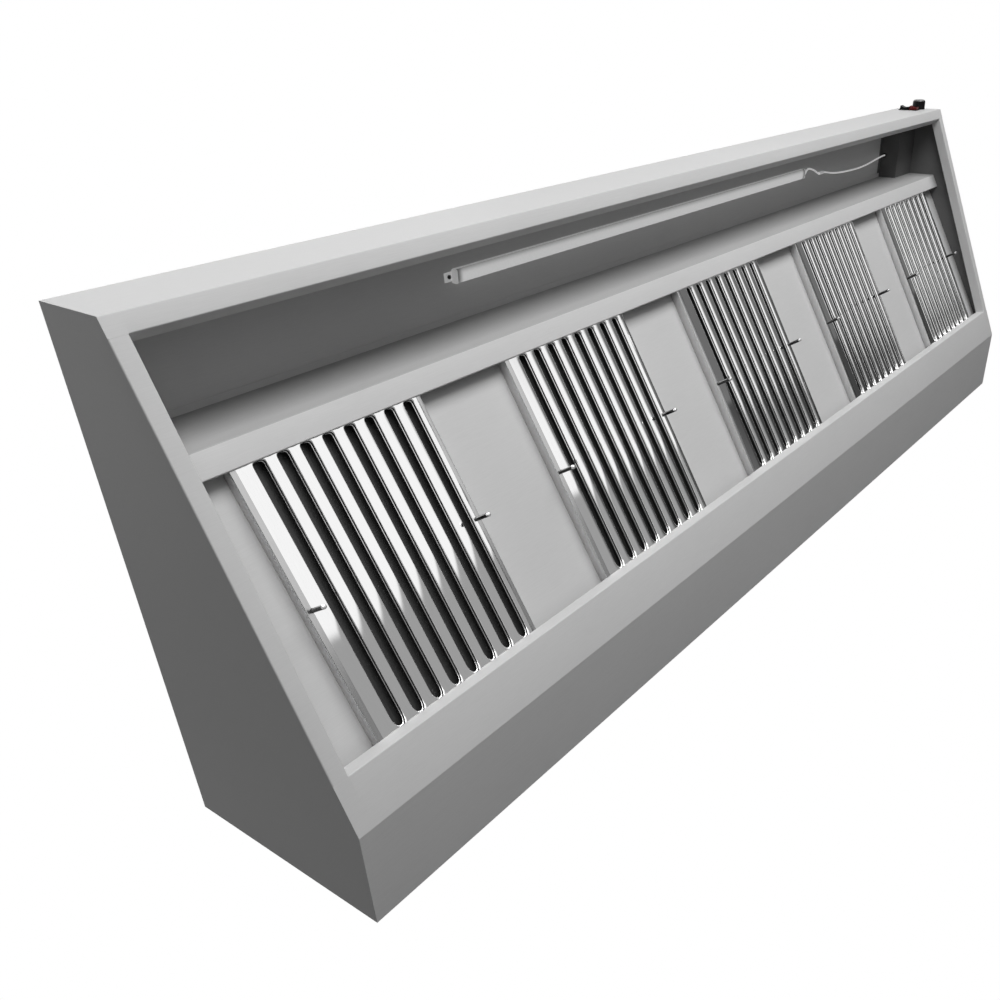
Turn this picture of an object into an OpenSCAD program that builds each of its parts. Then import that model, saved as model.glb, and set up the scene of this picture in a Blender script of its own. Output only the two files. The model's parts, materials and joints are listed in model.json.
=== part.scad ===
// Wall mount range hood: a canopy of folded sheet steel with five baffle filters, a lamp,
// its controls and a blower behind the filters, in millimetres.
// X runs to the cook's right, minus Y comes out of the wall towards the cook, Z is up.
// The origin is the centre of the four wall bolts, on the face that lies on the wall.
// Every module is drawn from the top of the wall face and moved to that origin at the end.

/* [Canopy] */
// Width along the wall
hood_width = 3000; // [2800:10:3200]
// Depth out from the wall
hood_depth = 900; // [860:5:960]
// Height of the wall face
hood_height = 450; // [440:1:470]
// Height of the upright front face
fascia_height = 138; // [128:1:146]
// Depth of the level bottom face at the wall
heel_depth = 183; // [174:1:190]
// Thickness of the canopy sheet
sheet = 1.5; // [1.2:0.1:1.6]
// Gap left at a folded seam
seam = 0.1; // [0.05:0.05:0.2]

/* [Opening edges] */
// Width of the front and side flanges
rim = 29; // [24:1:34]
// How far back the front lip leans
front_lip_lean = 6; // [2:1:8]
// Depth of the front lip
front_lip = 30; // [24:1:34]
// Depth of the side lips
side_lip = 28; // [22:1:34]
// Width of the gutter flange on the slope
gutter_flange = 91; // [88:1:93]
// Depth of the gutter lip
gutter_lip = 24; // [22:0.5:24.5]
// How far forward the gutter lip leans
gutter_lip_lean = 6; // [4:1:7]

/* [Plenum] */
// Depth of the recess in front of the upright plenum plate
recess_depth = 204; // [196:1:208]
// Width of the plate's flange under the top sheet
plenum_flange = 12; // [8:1:16]
// Width of the sloping rail over the filters
rail_width = 42; // [38:1:42]
// Distance of the rail in front of the filters
rail_stand = 9; // [7:0.5:10]
// How much steeper the filters stand than the opening
filter_tip = 6.5; // [5.5:0.5:7]
// Distance of the filters' lower corner behind the gutter's fold
filter_toe = 15.3; // [15.3:0.1:16]
// Height of the filters' lower corner over the opening
filter_toe_rise = 23.5; // [23:0.1:24]
// Distance of the filters' upper end from the plenum plate
filter_head_gap = 24.3; // [24:0.1:26]
// Gap behind the filters
bank_gap = 1; // [0.6:0.1:1.4]
// Height of the weld flanges on the filter bank plate
bank_flange = 12; // [8:1:16]
// Height of the drip skirt under the bank plate
bank_skirt = 18; // [12:1:20]
// Length of bank plate past the filters
bank_tail = 5; // [4.5:0.5:7]
// Border of bank plate left behind each filter's edge
bank_border = 22; // [18:1:26]
// Width of one filter rest
rest_width = 40; // [30:1:60]
// Length of a rest's foot
rest_foot = 15; // [10:1:16]
// Thickness of rests and gussets
seat_sheet = 1.5; // [1.2:0.1:1.6]
// Gap under the lower end of a filter
rest_gap = 0.4; // [0.3:0.05:0.5]
// Distance of a rest from the edge of its filter
rest_inset = 45; // [30:1:70]
// Height of a gusset on the wall face
gusset_height = 100; // [70:1:105]
// Height of a gusset's foot over the bottom sheet
gusset_foot = 88; // [85:1:100]
// Distance of a gusset's upper corner down the slope from the filters' middle
gusset_along = 12; // [0:1:30]

/* [Filters] */
// Width of a filter
filter_width = 380; // [370:1:390]
// Thickness of a filter
filter_depth = 20; // [18:0.5:20.5]
// Thickness of the filter sheet
filter_sheet = 1; // [0.8:0.1:1.2]
// Distance between slots
slot_pitch = 43; // [42:0.5:43.5]
// Width of a slot
slot_width = 22; // [20:0.5:23]
// Border left at both ends of the slots
slot_end_border = 20; // [18:0.5:24]
// Width of the side borders of a filter
side_border = 18; // [16:0.5:19]
// Inside width of a baffle trough
trough_width = 31; // [28:0.5:33]
// Height of a trough's sides
trough_height = 9; // [7:0.5:11]
// Width of the frame flange at the back of a filter
back_flange = 14; // [10:1:16]
// How far a filter lifts to come out
filter_lift = 23; // [22:0.5:23.5]
// Diameter of a pull pin
pull_diameter = 8; // [6:0.5:9]
// Length of a pull pin
pull_length = 38; // [32:1:45]
// Distance of a pull pin from the filter's edge
pull_inset = 10; // [8:0.5:11]
// Distance of the pull pins down the slope from the filter's middle
pull_along = 2; // [-10:1:20]
// Diameter of a pull pin's stem
pull_stem = 4; // [3:0.5:5]
// Rounding of a pull pin's end
pull_round = 2; // [1:0.5:2.5]

/* [Wall mounting] */
// Distance of the bolt columns from the ends
bolt_inset = 300; // [250:10:400]
// Distance of the bolt rows from the top and the bottom
bolt_edge = 60; // [58:1:64]
// Bolt hole diameter
bolt_hole = 10.5; // [8.5:0.5:12.5]
// Distance of a wall rail's ends from the hood's ends
wall_rail_inset = 150; // [120:10:190]
// Height of a wall rail
wall_rail_height = 40; // [30:1:42]
// Thickness of a wall rail
wall_rail_sheet = 3; // [2:0.5:4]

/* [Lamp] */
// Length of the lamp body
lamp_length = 1485; // [1300:5:1600]
// Width of the lamp
lamp_width = 26; // [22:1:30]
// Depth of the lamp body
lamp_body_depth = 9; // [8:0.5:12]
// Depth of the diffuser
lamp_diffuser_depth = 5; // [4:0.5:7]
// Wall of the lamp body
lamp_wall = 1; // [0.8:0.1:1.2]
// Thickness of an end cap
lamp_cap = 5; // [4:0.5:7]
// Distance from the front to the lamp's middle
lamp_from_front = 119; // [110:1:125]
// Sideways shift of the lamp
lamp_shift = -2; // [-6:1:6]
// Length of a lamp tab
lamp_tab = 24; // [20:1:30]
// Width of a lamp tab
lamp_tab_width = 18; // [14:1:20]
// Length of the screw slot in a tab
lamp_slot = 9; // [7:0.5:11]
// Width of the light board
board_width = 14; // [10:1:16]
// Thickness of the light board
board_sheet = 1; // [0.8:0.1:1.6]
// Number of light chips
chip_count = 24; // [8:1:32]
// Width of a light chip
chip_width = 5; // [3:0.5:7]
// Height of a light chip
chip_height = 1; // [0.6:0.1:1.4]

/* [Lamp lead] */
// Diameter of the lead
lead_diameter = 5; // [4.5:0.1:5.5]
// How far the lead hangs between its ends
lead_sag = 26; // [15:1:36]
// How far the lead sways towards the wall
lead_sway = 14; // [6:1:20]
// Drop of the lead's hole in the cable duct
gland_drop = 16; // [15:0.5:20]
// Distance from the front to the lead's hole
gland_from_front = 135; // [125:1:145]
// Diameter of the in-line connector
connector_diameter = 9; // [8:0.5:11]
// Radial play of the connector round the lead
connector_play = 0.5; // [0.4:0.1:0.6]
// Outside diameter of the rubber gland
gland_diameter = 14; // [12:0.5:16]
// Diameter of the gland's neck
gland_neck = 10; // [8.5:0.5:11]
// Width of the gland along the lead
gland_width = 6; // [5:0.5:8]

/* [Cable duct and switch box] */
// Width of the duct from the right side
duct_width = 140; // [130:1:160]
// Height of the duct under the top sheet
duct_height = 62; // [55:1:70]
// Depth of the switch box behind the front face
switch_box_depth = 42; // [40:1:48]
// Height of the switch box
switch_box_height = 116; // [108:1:120]
// Thickness of the duct sheet
duct_sheet = 1.2; // [1:0.1:1.5]
// Width of the duct's screw tabs
duct_tab = 14; // [12:1:18]
// Length of the terminal block
terminal_length = 60; // [40:1:70]
// Width of the terminal block
terminal_width = 22; // [16:1:26]
// Height of the terminal block
terminal_height = 16; // [12:1:20]
// Number of terminals
terminal_count = 6; // [4:1:6]
// Diameter of the supply gland
supply_diameter = 24; // [22:1:30]
// Bore of the supply gland
supply_bore = 10; // [8:0.5:12]
// Height of the supply gland over the top sheet
supply_height = 20; // [16:1:26]
// Distance from the front to the supply gland
supply_from_front = 110; // [100:1:120]

/* [Switches and knob] */
// Length of a switch bezel, up the front face
bezel_length = 30; // [29.6:0.1:31]
// Width of a switch bezel
bezel_width = 28; // [27.5:0.5:29]
// How far a bezel covers the edge of its cut-out above and below
bezel_edge = 0.5; // [0.4:0.1:0.6]
// How far a bezel covers the edge of its cut-out at the sides
bezel_over = 1.5; // [1.4:0.1:1.5]
// How far a bezel stands out
bezel_proud = 2; // [1.5:0.1:2.5]
// Distance between the two switches
switch_pitch = 32; // [31.5:0.5:34]
// Distance of the switches from the right end
switch_from_end = 76; // [74:1:80]
// Drop from the top to the upper switch
bezel_drop = 40; // [37:1:44]
// Length of a rocker, across its pivots
rocker_length = 25.2; // [24.6:0.1:25.4]
// Width of a rocker
rocker_width = 21.6; // [20:0.1:21.8]
// How far a rocker's ends stand out
rocker_proud = 12; // [10:0.1:13]
// Hollow in the middle of a rocker
rocker_hollow = 3; // [2:0.1:3.4]
// How deep a rocker's ends reach behind the front face
rocker_skirt = 1; // [0.6:0.1:1.2]
// Tilt of a rocker either way
rocker_tilt = 8; // [5:0.5:8]
// Diameter of a rocker's pivots
pivot_diameter = 2.4; // [2:0.1:3]
// Radial play of a pivot or shaft
pivot_play = 0.05; // [0.03:0.01:0.08]
// Wall of a switch body
switch_wall = 0.8; // [0.7:0.05:0.9]
// Depth of a switch body behind the front face
switch_depth = 17; // [14:0.5:20]
// Diameter of the knob
knob_diameter = 42; // [38:1:42]
// Height of the knob
knob_height = 28; // [24:0.5:30]
// Distance of the knob from the right end
knob_from_end = 34; // [30:1:35]
// Drop from the top to the knob
knob_drop = 73; // [70:1:80]
// Gap under the knob
knob_gap = 0.8; // [0.5:0.1:1.5]
// Sweep of the knob
knob_sweep = 270; // [200:5:300]
// Diameter of the knob's shaft
knob_shaft = 6; // [5:0.5:6.5]
// Diameter of the knob's bush
knob_bush = 10; // [9:0.5:11]
// Bevel round the knob's top
knob_bevel = 1; // [0.6:0.1:1.4]
// Diameter of the pale disc on the knob
knob_disc = 26; // [22:1:30]
// Depth of the disc's seat in the knob
disc_sink = 1; // [0.6:0.1:1.4]
// How far the disc stands over the knob
disc_proud = 0.5; // [0.3:0.1:0.8]
// Width of the pointer on the disc
pointer_width = 1; // [0.8:0.1:1.5]
// How far the pointer stands over the knob
pointer_proud = 1; // [0.9:0.1:1.5]
// Size of the speed control's body
speed_body = 34; // [30:1:36]
// Depth of the speed control's body
speed_body_depth = 28; // [24:1:32]

/* [Blower] */
// Height of hood that the sizes below are given for; the blower grows and shrinks with the hood
blower_hood = 450; // [440:1:470]
// Distance from the wall to the impeller's axis
axis_depth = 205; // [200:1:212]
// Drop from the top to the impeller's axis
axis_drop = 205; // [200:1:212]
// Radius of the impeller
wheel_radius = 100; // [94:1:100]
// Width of the impeller
wheel_width = 180; // [165:1:190]
// Width of an impeller ring
wheel_ring = 4; // [3:0.5:6]
// Thickness of the impeller's disc
wheel_disc = 2; // [1.5:0.5:3]
// Number of impeller blades
blade_count = 20; // [16:1:24]
// Radial depth of a blade
vane_depth = 18; // [14:1:20]
// Radial margin of the rings round the blades
blade_margin = 1; // [0.5:0.5:1.5]
// Thickness of a blade
blade_sheet = 1.2; // [1:0.1:1.5]
// Set of a blade against the radius
blade_angle = 35; // [25:1:40]
// Smallest radius of the scroll
housing_radius = 112; // [112:1:116]
// Growth of the scroll in each quarter turn
housing_growth = 12; // [9:0.5:12]
// Gap beside the impeller
scroll_side_gap = 6; // [4:0.5:8]
// Radius of the scroll's inlets
mouth_radius = 80; // [74:1:82]
// Depth of the outlet throat
outlet_depth = 114; // [108:1:116]
// Width of the flange round the throat
throat_flange = 36; // [34:1:40]
// Radius of the motor
motor_size = 42; // [38:1:46]
// Gap from the motor to the impeller's disc
motor_gap = 14; // [12:1:18]
// Length of the motor's nose
motor_nose = 4; // [3:0.5:6]
// Diameter of the motor shaft
shaft_diameter = 12; // [10:0.5:14]
// Diameter of the impeller's hub
hub_diameter = 30; // [26:1:34]
// Length of the impeller's hub
hub_length = 20; // [16:1:22]
// Thickness of the motor bracket
bracket_sheet = 3; // [2:0.5:4]
// Width of a motor bracket arm
bracket_arm = 16; // [12:1:20]

/* [Exhaust collar] */
// Radius of the exhaust collar
spigot_radius = 124; // [122:0.5:126]
// Height of the exhaust collar
collar_height = 60; // [50:1:80]
// Width of the collar's flange past the ring
collar_flange = 22; // [20:1:26]
// Thickness of the collar
collar_sheet = 1.2; // [1:0.1:1.5]

/* [Screws] */
// Diameter of a screw's stem
screw_stem = 4; // [3.5:0.1:4.2]
// Diameter of a screw's head
screw_head = 8; // [7.5:0.1:9]
// Height of a screw's head
screw_head_height = 2.4; // [2:0.1:3]
// Depth of a screw's drive
screw_drive_depth = 1.2; // [0.8:0.1:1.4]
// Width of a screw's drive
screw_drive_width = 1.2; // [0.8:0.1:1.6]
// Length of a screw's stem past the last sheet
screw_tail = 4; // [3:0.5:6]

/* [Hidden] */
$fn = 48;
half = 0.5;
eps = 0.01;
// How far a cut passes the face that it opens
past = 1;
filter_count = 5;
slot_count = 8;
lead_sides = 8;
hex_sides = 6;
arm_count = 3;
right_angle = 90;
half_turn = 180;
full_turn = 360;
half_width = hood_width * half;
inner_half = half_width - sheet;
run_y = hood_depth - heel_depth;
run_z = hood_height - fascia_height;
slope_length = norm([run_y, run_z]);
slope_cos = run_y / slope_length;
slope_sin = run_z / slope_length;
plenum_depth = hood_depth - recess_depth;
filter_slope = atan2(run_z, run_y) + filter_tip;
filter_cos = cos(filter_slope);
filter_sin = sin(filter_slope);
filter_pitch = hood_width / filter_count;
filter_low = on_slope(slope_length - gutter_flange + filter_toe, filter_toe_rise);
filter_length = (plenum_depth - filter_head_gap + filter_low[0]) / filter_cos;
filter_top = -filter_length * half;
filter_end = filter_length * half;
filter_mid_depth = filter_end * filter_cos - filter_low[0];
filter_mid_drop = -filter_low[1] - filter_end * filter_sin;
bolt_spacing = hood_width - bolt_inset - bolt_inset;
bolt_rise = hood_height - bolt_edge - bolt_edge;
bolt_centre_drop = hood_height * half;
wall_rail_length = hood_width - wall_rail_inset - wall_rail_inset;
gusset_drop = hood_height - gusset_foot;
lamp_from_wall = hood_depth - lamp_from_front;
gland_from_wall = hood_depth - gland_from_front;
supply_from_wall = hood_depth - supply_from_front;
rail_fold = (filter_mid_depth - plenum_depth + rail_stand * filter_sin) / filter_cos;
bank_depth = filter_depth + bank_gap;
bank_back = bank_depth + sheet;
bank_top = (filter_mid_depth - plenum_depth + sheet - bank_depth * filter_sin) / filter_cos;
bank_end = filter_end + bank_tail;
slot_half = slot_width * half;
slot_first = side_border - filter_width * half + slot_pitch - slot_half;
lamp_left = lamp_shift - lamp_length * half;
lamp_right = lamp_shift + lamp_length * half;
lead_radius = lead_diameter * half;
lead_start = lamp_right + lamp_cap;
duct_left = half_width - duct_width;
lead_stop = duct_left + gland_width + gland_width;
lead_start_drop = sheet + lamp_body_depth * half + lead_radius;
// Route of the lead as shares of its span, its sway and its sag
lead_route_shares = [
    [0, 0, 0], [0.01, 0.25, 0], [0.019, 0.05, 0.02], [0.028, -0.45, 0.05], [0.041, -0.75, 0.1],
    [0.06, -0.68, 0.2], [0.084, -0.35, 0.33], [0.104, 0.1, 0.45], [0.122, 0.4, 0.5], [0.178, 0.4, 0.5],
    [0.21, 0.55, 0.6], [0.26, 0.85, 0.78], [0.33, 1, 0.93], [0.41, 1.04, 1], [0.49, 1.03, 1],
    [0.58, 0.95, 0.9], [0.67, 0.78, 0.72], [0.75, 0.56, 0.52], [0.83, 0.32, 0.3], [0.9, 0.12, 0.12],
    [0.95, 0, 0], [1, 0, 0]];
// Share of the span where the lead has come level with its hole
level_share = 0.95;
// Share of the straight stretch left free at both ends of the connector
connector_free_share = 0.06;
// First and last points of the straight stretch that the connector covers
connector_first = 8;
connector_last = 9;
cutout_length = bezel_length - bezel_edge - bezel_edge;
cutout_width = bezel_width - bezel_over - bezel_over;
switch_x = half_width - switch_from_end;
knob_x = half_width - knob_from_end;
blower_scale = hood_height / blower_hood;
blower_from_wall = axis_depth * blower_scale;
blower_drop = axis_drop * blower_scale;
impeller_radius = wheel_radius * blower_scale;
impeller_width = wheel_width * blower_scale;
blade_depth = vane_depth * blower_scale;
scroll_radius = housing_radius * blower_scale;
scroll_growth = housing_growth * blower_scale;
inlet_radius = mouth_radius * blower_scale;
throat_depth = outlet_depth * blower_scale;
motor_radius = motor_size * blower_scale;
collar_radius = spigot_radius * blower_scale;
scroll_half = impeller_width * half + scroll_side_gap;
throat_front = -scroll_growth * half - scroll_radius - scroll_growth - scroll_growth;
throat_back = throat_front + throat_depth;
collar_from_wall = blower_from_wall - (throat_front + throat_back) * half;
collar_half = collar_radius + collar_flange;

function unit(v) = v / norm(v);
function left_of(v) = [-v[1], v[0]];
// A point on the sloping opening: s down the slope from the front edge, d into the hood
function on_slope(s, d) = [
    -hood_depth + s * slope_cos + d * slope_sin,
    -fascia_height - s * slope_sin + d * slope_cos];
// A point on a filter: a down the slope from the filters' middle, d behind their faces
function on_filter(a, d) = [
    -filter_mid_depth + a * filter_cos + d * filter_sin,
    -filter_mid_drop - a * filter_sin + d * filter_cos];
// How far down the opening's slope a point lies
function slope_share(p) = (p[0] + hood_depth) * slope_cos - (p[1] + fascia_height) * slope_sin;
// One corner of a fold line, moved to its left by the sheet's thickness
function moved(p, i, t) =
    let (a = i == 0 ? left_of(unit(p[1] - p[0])) : left_of(unit(p[i] - p[i - 1])),
        b = i == len(p) - 1 ? a : left_of(unit(p[i + 1] - p[i])),
        c = i == 0 ? b : a)
    p[i] + t * (c + b) / (1 + c * b);

// A folded strip of sheet, from its fold line and its thickness on the left of that line
module folded(p, t) {
    polygon(concat(p, [for (i = [len(p) - 1:-1:0]) moved(p, i, t)]));
}

// Draws a section of depth and height along X from x0 to x1
module along_x(x0, x1) {
    translate([x0, 0, 0]) rotate([right_angle, 0, right_angle]) linear_extrude(x1 - x0) children();
}

// Moves from the top of the wall face to the centre of the wall bolts
module placed() {
    translate([0, 0, bolt_centre_drop]) children();
}

// A filter's own frame: X across, Y down the slope and Z into the hood, from its face's middle
module in_filter(n) {
    translate([(n - (filter_count + 1) * half) * filter_pitch, -filter_mid_depth, -filter_mid_drop])
        rotate([-filter_slope, 0, 0])
            children();
}

// A pan head screw whose head sits on Z nought, its stem going up
module screw(stem_length) {
    difference() {
        union() {
            translate([0, 0, -screw_head_height])
                cylinder(d = screw_head, h = screw_head_height);
            cylinder(d = screw_stem, h = stem_length);
        }
        translate([-screw_head, -screw_drive_width * half, -screw_head_height - eps])
            cube([screw_head + screw_head, screw_drive_width, screw_drive_depth + eps]);
    }
}

// Back sheet against the wall, with the four bolt holes
module back_panel() {
    color("silver") placed() difference() {
        translate([-half_width, -sheet, -hood_height])
            cube([hood_width, sheet, hood_height - sheet]);
        wall_holes();
    }
}

// The four wall bolt holes
module wall_holes() {
    for (x = [-bolt_spacing * half, bolt_spacing * half])
        for (z = [-bolt_centre_drop - bolt_rise * half, -bolt_centre_drop + bolt_rise * half])
            translate([x, wall_rail_sheet, z]) rotate([right_angle, 0, 0])
                cylinder(d = bolt_hole, h = wall_rail_sheet * 4);
}

// Top sheet, with the blower's outlet, the supply gland's hole and the screw holes
module top_panel() {
    color("silver") placed() difference() {
        translate([-half_width, -hood_depth, -sheet]) cube([hood_width, hood_depth, sheet]);
        translate([-scroll_half, throat_front - blower_from_wall, -sheet - sheet])
            cube([scroll_half + scroll_half, throat_depth, sheet * 4]);
        collar_screw_places() screw_hole();
        duct_screw_places() screw_hole();
        lamp_screw_places() screw_hole();
        translate([knob_x - knob_from_end, -supply_from_wall, -sheet - sheet])
            cylinder(d = supply_diameter * 0.75, h = sheet * 4);
    }
}

// A hole for a screw's stem through every sheet it meets
module screw_hole() {
    translate([0, 0, -screw_tail]) cylinder(d = screw_stem, h = screw_tail * 4);
}

// Outline of a side sheet, from the front edge round to the slope's front seam
module side_outline() {
    slant = atan2(run_z, run_y);
    polygon([
        [-hood_depth + sheet, -sheet],
        [-sheet, -sheet],
        [-sheet, -hood_height + sheet],
        [-heel_depth + sheet * tan(slant * half), -hood_height + sheet],
        on_slope(slope_length - gutter_flange - seam, sheet),
        on_slope(slope_length - gutter_flange - seam, 0),
        on_slope(rim + seam, 0),
        on_slope(rim + seam, sheet),
        [-hood_depth + sheet, -fascia_height + sheet * tan((right_angle - slant) * half)]]);
}

// Strip on the slope between the two seams
module side_strip(depth) {
    polygon([
        on_slope(rim + seam, 0),
        on_slope(slope_length - gutter_flange - seam, 0),
        on_slope(slope_length - gutter_flange - seam, depth),
        on_slope(rim + seam, depth)]);
}

// Left side sheet with its folded flange and lip
module side_panel() {
    along_x(-half_width, -inner_half) side_outline();
    along_x(-half_width, rim - half_width) side_strip(sheet);
    along_x(rim - sheet - half_width, rim - half_width) side_strip(side_lip);
}

// Left side sheet
module left_side_panel() {
    color("gainsboro") placed() side_panel();
}

// Right side sheet
module right_side_panel() {
    color("gainsboro") placed() mirror([1, 0, 0]) side_panel();
}

// Front face with its sloping flange and lip in one folded sheet
module front_fascia() {
    color("lightgray") placed() difference() {
        union() {
            along_x(-half_width, half_width)
                folded([[-hood_depth, -sheet], [-hood_depth, -fascia_height], on_slope(rim, 0)], sheet);
            along_x(rim - half_width, half_width - rim)
                folded([[-hood_depth, -sheet], [-hood_depth, -fascia_height], on_slope(rim, 0),
                    on_slope(rim + front_lip_lean, front_lip)], sheet);
        }
        for (n = [0, 1]) translate([switch_x, -hood_depth, -bezel_drop - n * switch_pitch])
            cube([cutout_width, sheet * 4, cutout_length], center = true);
        translate([knob_x, -hood_depth + sheet + sheet, -knob_drop]) rotate([right_angle, 0, 0])
            cylinder(d = knob_bush + seam + seam, h = sheet * 4);
    }
}

// Bottom sheet and gutter, folded up to the lip that the filters lean on
module gutter_pan() {
    fold = [-heel_depth, -hood_height];
    edge = on_slope(slope_length - gutter_flange, 0);
    color("silver") placed() {
        along_x(-half_width, half_width) folded([edge, fold, [-sheet, -hood_height]], sheet);
        along_x(rim - half_width, half_width - rim)
            folded([on_slope(slope_length - gutter_flange - gutter_lip_lean, gutter_lip), edge, fold,
                [-sheet, -hood_height]], sheet);
    }
}

// Upright plate in front of the filters, ending in the sloping rail
module plenum_front_plate() {
    color("lightgray") placed() along_x(-inner_half, inner_half)
        folded([
            [-plenum_depth - plenum_flange, -sheet - sheet],
            [-plenum_depth, -sheet - sheet],
            on_filter(rail_fold, -rail_stand),
            on_filter(rail_fold + rail_width, -rail_stand),
            on_filter(rail_fold + rail_width, -rest_gap)], sheet);
}

// Plate behind the filters, with an opening behind each filter and a drip skirt below
module filter_bank_plate() {
    joint = on_filter(bank_top, bank_depth);
    tail = on_filter(bank_end, bank_depth);
    color("gainsboro") placed() difference() {
        along_x(-inner_half, inner_half)
            folded([
                [joint[0], joint[1] + bank_flange],
                joint,
                tail,
                [tail[0], tail[1] - bank_skirt]], sheet);
        for (n = [1:filter_count]) in_filter(n)
            translate([bank_border - filter_width * half, filter_top + bank_border, filter_depth])
                cube([filter_width - bank_border - bank_border,
                    filter_length - bank_border - bank_border, bank_depth]);
    }
}

// Gussets that hold the filter bank plate off the wall face
module plenum_gussets() {
    color("gray") placed()
        for (n = [1:filter_count - 1])
            translate([(n - filter_count * half) * filter_pitch, 0, 0])
                along_x(-seat_sheet * half, seat_sheet * half)
                    polygon([
                        on_filter(gusset_along, bank_back),
                        on_filter(filter_end - bank_border, bank_back),
                        [-sheet, -gusset_drop],
                        [-sheet, gusset_height - gusset_drop]]);
}

// Short brackets in the gutter that the lower end of each filter stands on
module filter_rests() {
    front = on_filter(filter_end + rest_gap, -past);
    foot = slope_share(front);
    color("silver") placed()
        for (n = [1:filter_count]) for (side = [-1, 1])
            translate([(n - (filter_count + 1) * half) * filter_pitch, 0, 0])
                translate([side * (filter_width * half - rest_inset), 0, 0])
                    along_x(-rest_width * half, rest_width * half)
                        folded([
                            on_filter(filter_end + rest_gap, filter_depth - past),
                            front,
                            on_slope(foot, sheet),
                            on_slope(foot + rest_foot, sheet)], seat_sheet);
}

// Two flat bars behind the wall face, each spreading the load of two bolts
module wall_rails() {
    color("gray") placed() difference() {
        for (z = [bolt_rise * half - bolt_centre_drop, -bolt_rise * half - bolt_centre_drop])
            translate([-wall_rail_length * half, -sheet - wall_rail_sheet, z - wall_rail_height * half])
                cube([wall_rail_length, wall_rail_sheet, wall_rail_height]);
        translate([0, -sheet - wall_rail_sheet, 0]) wall_holes();
    }
}

// Face of a filter: a shallow pan with eight long round ended slots
module filter_face(n) {
    slot_length = filter_length - slot_end_border - slot_end_border;
    color("white") placed() in_filter(n) difference() {
        translate([-filter_width * half, filter_top, 0])
            cube([filter_width, filter_length, filter_depth]);
        translate([filter_sheet - filter_width * half, filter_top + filter_sheet, filter_sheet])
            cube([filter_width - filter_sheet - filter_sheet,
                filter_length - filter_sheet - filter_sheet, filter_depth]);
        for (k = [0:slot_count - 1]) translate([slot_first + k * slot_pitch, 0, -filter_sheet]) {
            translate([-slot_half, slot_half - slot_length * half, 0])
                cube([slot_width, slot_length - slot_width, filter_sheet * 4]);
            for (e = [-1, 1]) translate([0, e * (slot_length * half - slot_half), 0])
                cylinder(d = slot_width, h = filter_sheet * 4);
        }
        pull_places() translate([0, 0, -filter_sheet])
            cylinder(d = pull_stem, h = filter_sheet * 4);
    }
}

// Places of the two pull pins in a filter's own frame
module pull_places() {
    for (side = [-1, 1]) translate([side * (filter_width * half - pull_inset), pull_along, 0]) children();
}

// Back of a filter: a frame and eight troughs that catch the grease behind the slots
module filter_baffles(n) {
    wide = filter_width - filter_sheet - filter_sheet;
    long = filter_length - filter_sheet - filter_sheet;
    back = filter_depth - filter_sheet;
    color("darkgray") placed() in_filter(n) {
        difference() {
            translate([-wide * half, -long * half, back]) cube([wide, long, filter_sheet]);
            translate([back_flange - wide * half, back_flange - long * half, back - past])
                cube([wide - back_flange - back_flange, long - back_flange - back_flange, filter_depth]);
        }
        for (k = [0:slot_count - 1])
            translate([slot_first + k * slot_pitch, -long * half, 0]) difference() {
                translate([-trough_width * half - filter_sheet, 0, back - trough_height])
                    cube([trough_width + filter_sheet + filter_sheet, long, trough_height]);
                translate([-trough_width * half, -past, back - trough_height - filter_sheet])
                    cube([trough_width, long + past + past, trough_height]);
            }
    }
}

// Two pull pins riveted to a filter's side borders
module filter_pulls(n) {
    color("dimgray") placed() in_filter(n) pull_places() {
        rotate([half_turn, 0, 0]) rotate_extrude() polygon([
            [0, 0],
            [pull_diameter * half, 0],
            [pull_diameter * half, pull_length - pull_round],
            [pull_diameter * half - pull_round, pull_length],
            [0, pull_length]]);
        cylinder(d = pull_stem, h = filter_sheet);
        translate([0, 0, filter_sheet]) cylinder(d = pull_diameter - pull_round, h = filter_sheet);
    }
}

module filter_1_face() { filter_face(1); }
module filter_2_face() { filter_face(2); }
module filter_3_face() { filter_face(3); }
module filter_4_face() { filter_face(4); }
module filter_5_face() { filter_face(5); }
module filter_1_baffles() { filter_baffles(1); }
module filter_2_baffles() { filter_baffles(2); }
module filter_3_baffles() { filter_baffles(3); }
module filter_4_baffles() { filter_baffles(4); }
module filter_5_baffles() { filter_baffles(5); }
module filter_1_pulls() { filter_pulls(1); }
module filter_2_pulls() { filter_pulls(2); }
module filter_3_pulls() { filter_pulls(3); }
module filter_4_pulls() { filter_pulls(4); }
module filter_5_pulls() { filter_pulls(5); }

// Places of the two lamp screws, on the underside of the tabs
module lamp_screw_places() {
    for (x = [lamp_left - lamp_tab * half, lamp_right + lamp_tab * half])
        translate([x, -lamp_from_wall, -sheet - lamp_wall]) children();
}

// Lamp channel under the top sheet, with a slotted tab at each end
module lamp_body() {
    color("whitesmoke") placed() difference() {
        union() {
            translate([lamp_left, -lamp_from_wall - lamp_width * half, -sheet - lamp_body_depth])
                cube([lamp_length, lamp_width, lamp_body_depth]);
            translate([lamp_left - lamp_tab, -lamp_from_wall - lamp_tab_width * half, -sheet - lamp_wall])
                cube([lamp_length + lamp_tab + lamp_tab, lamp_tab_width, lamp_wall]);
        }
        translate([lamp_left - past, -lamp_from_wall - lamp_width * half + lamp_wall, -hood_height])
            cube([lamp_length + past + past, lamp_width - lamp_wall - lamp_wall,
                hood_height - sheet - lamp_wall]);
        lamp_screw_places() {
            translate([screw_stem * half - lamp_slot * half, -screw_stem * half, -lamp_wall])
                cube([lamp_slot - screw_stem, screw_stem, lamp_wall * 4]);
            for (e = [-1, 1]) translate([e * (lamp_slot - screw_stem) * half, 0, -lamp_wall])
                cylinder(d = screw_stem, h = lamp_wall * 4);
        }
    }
}

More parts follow.
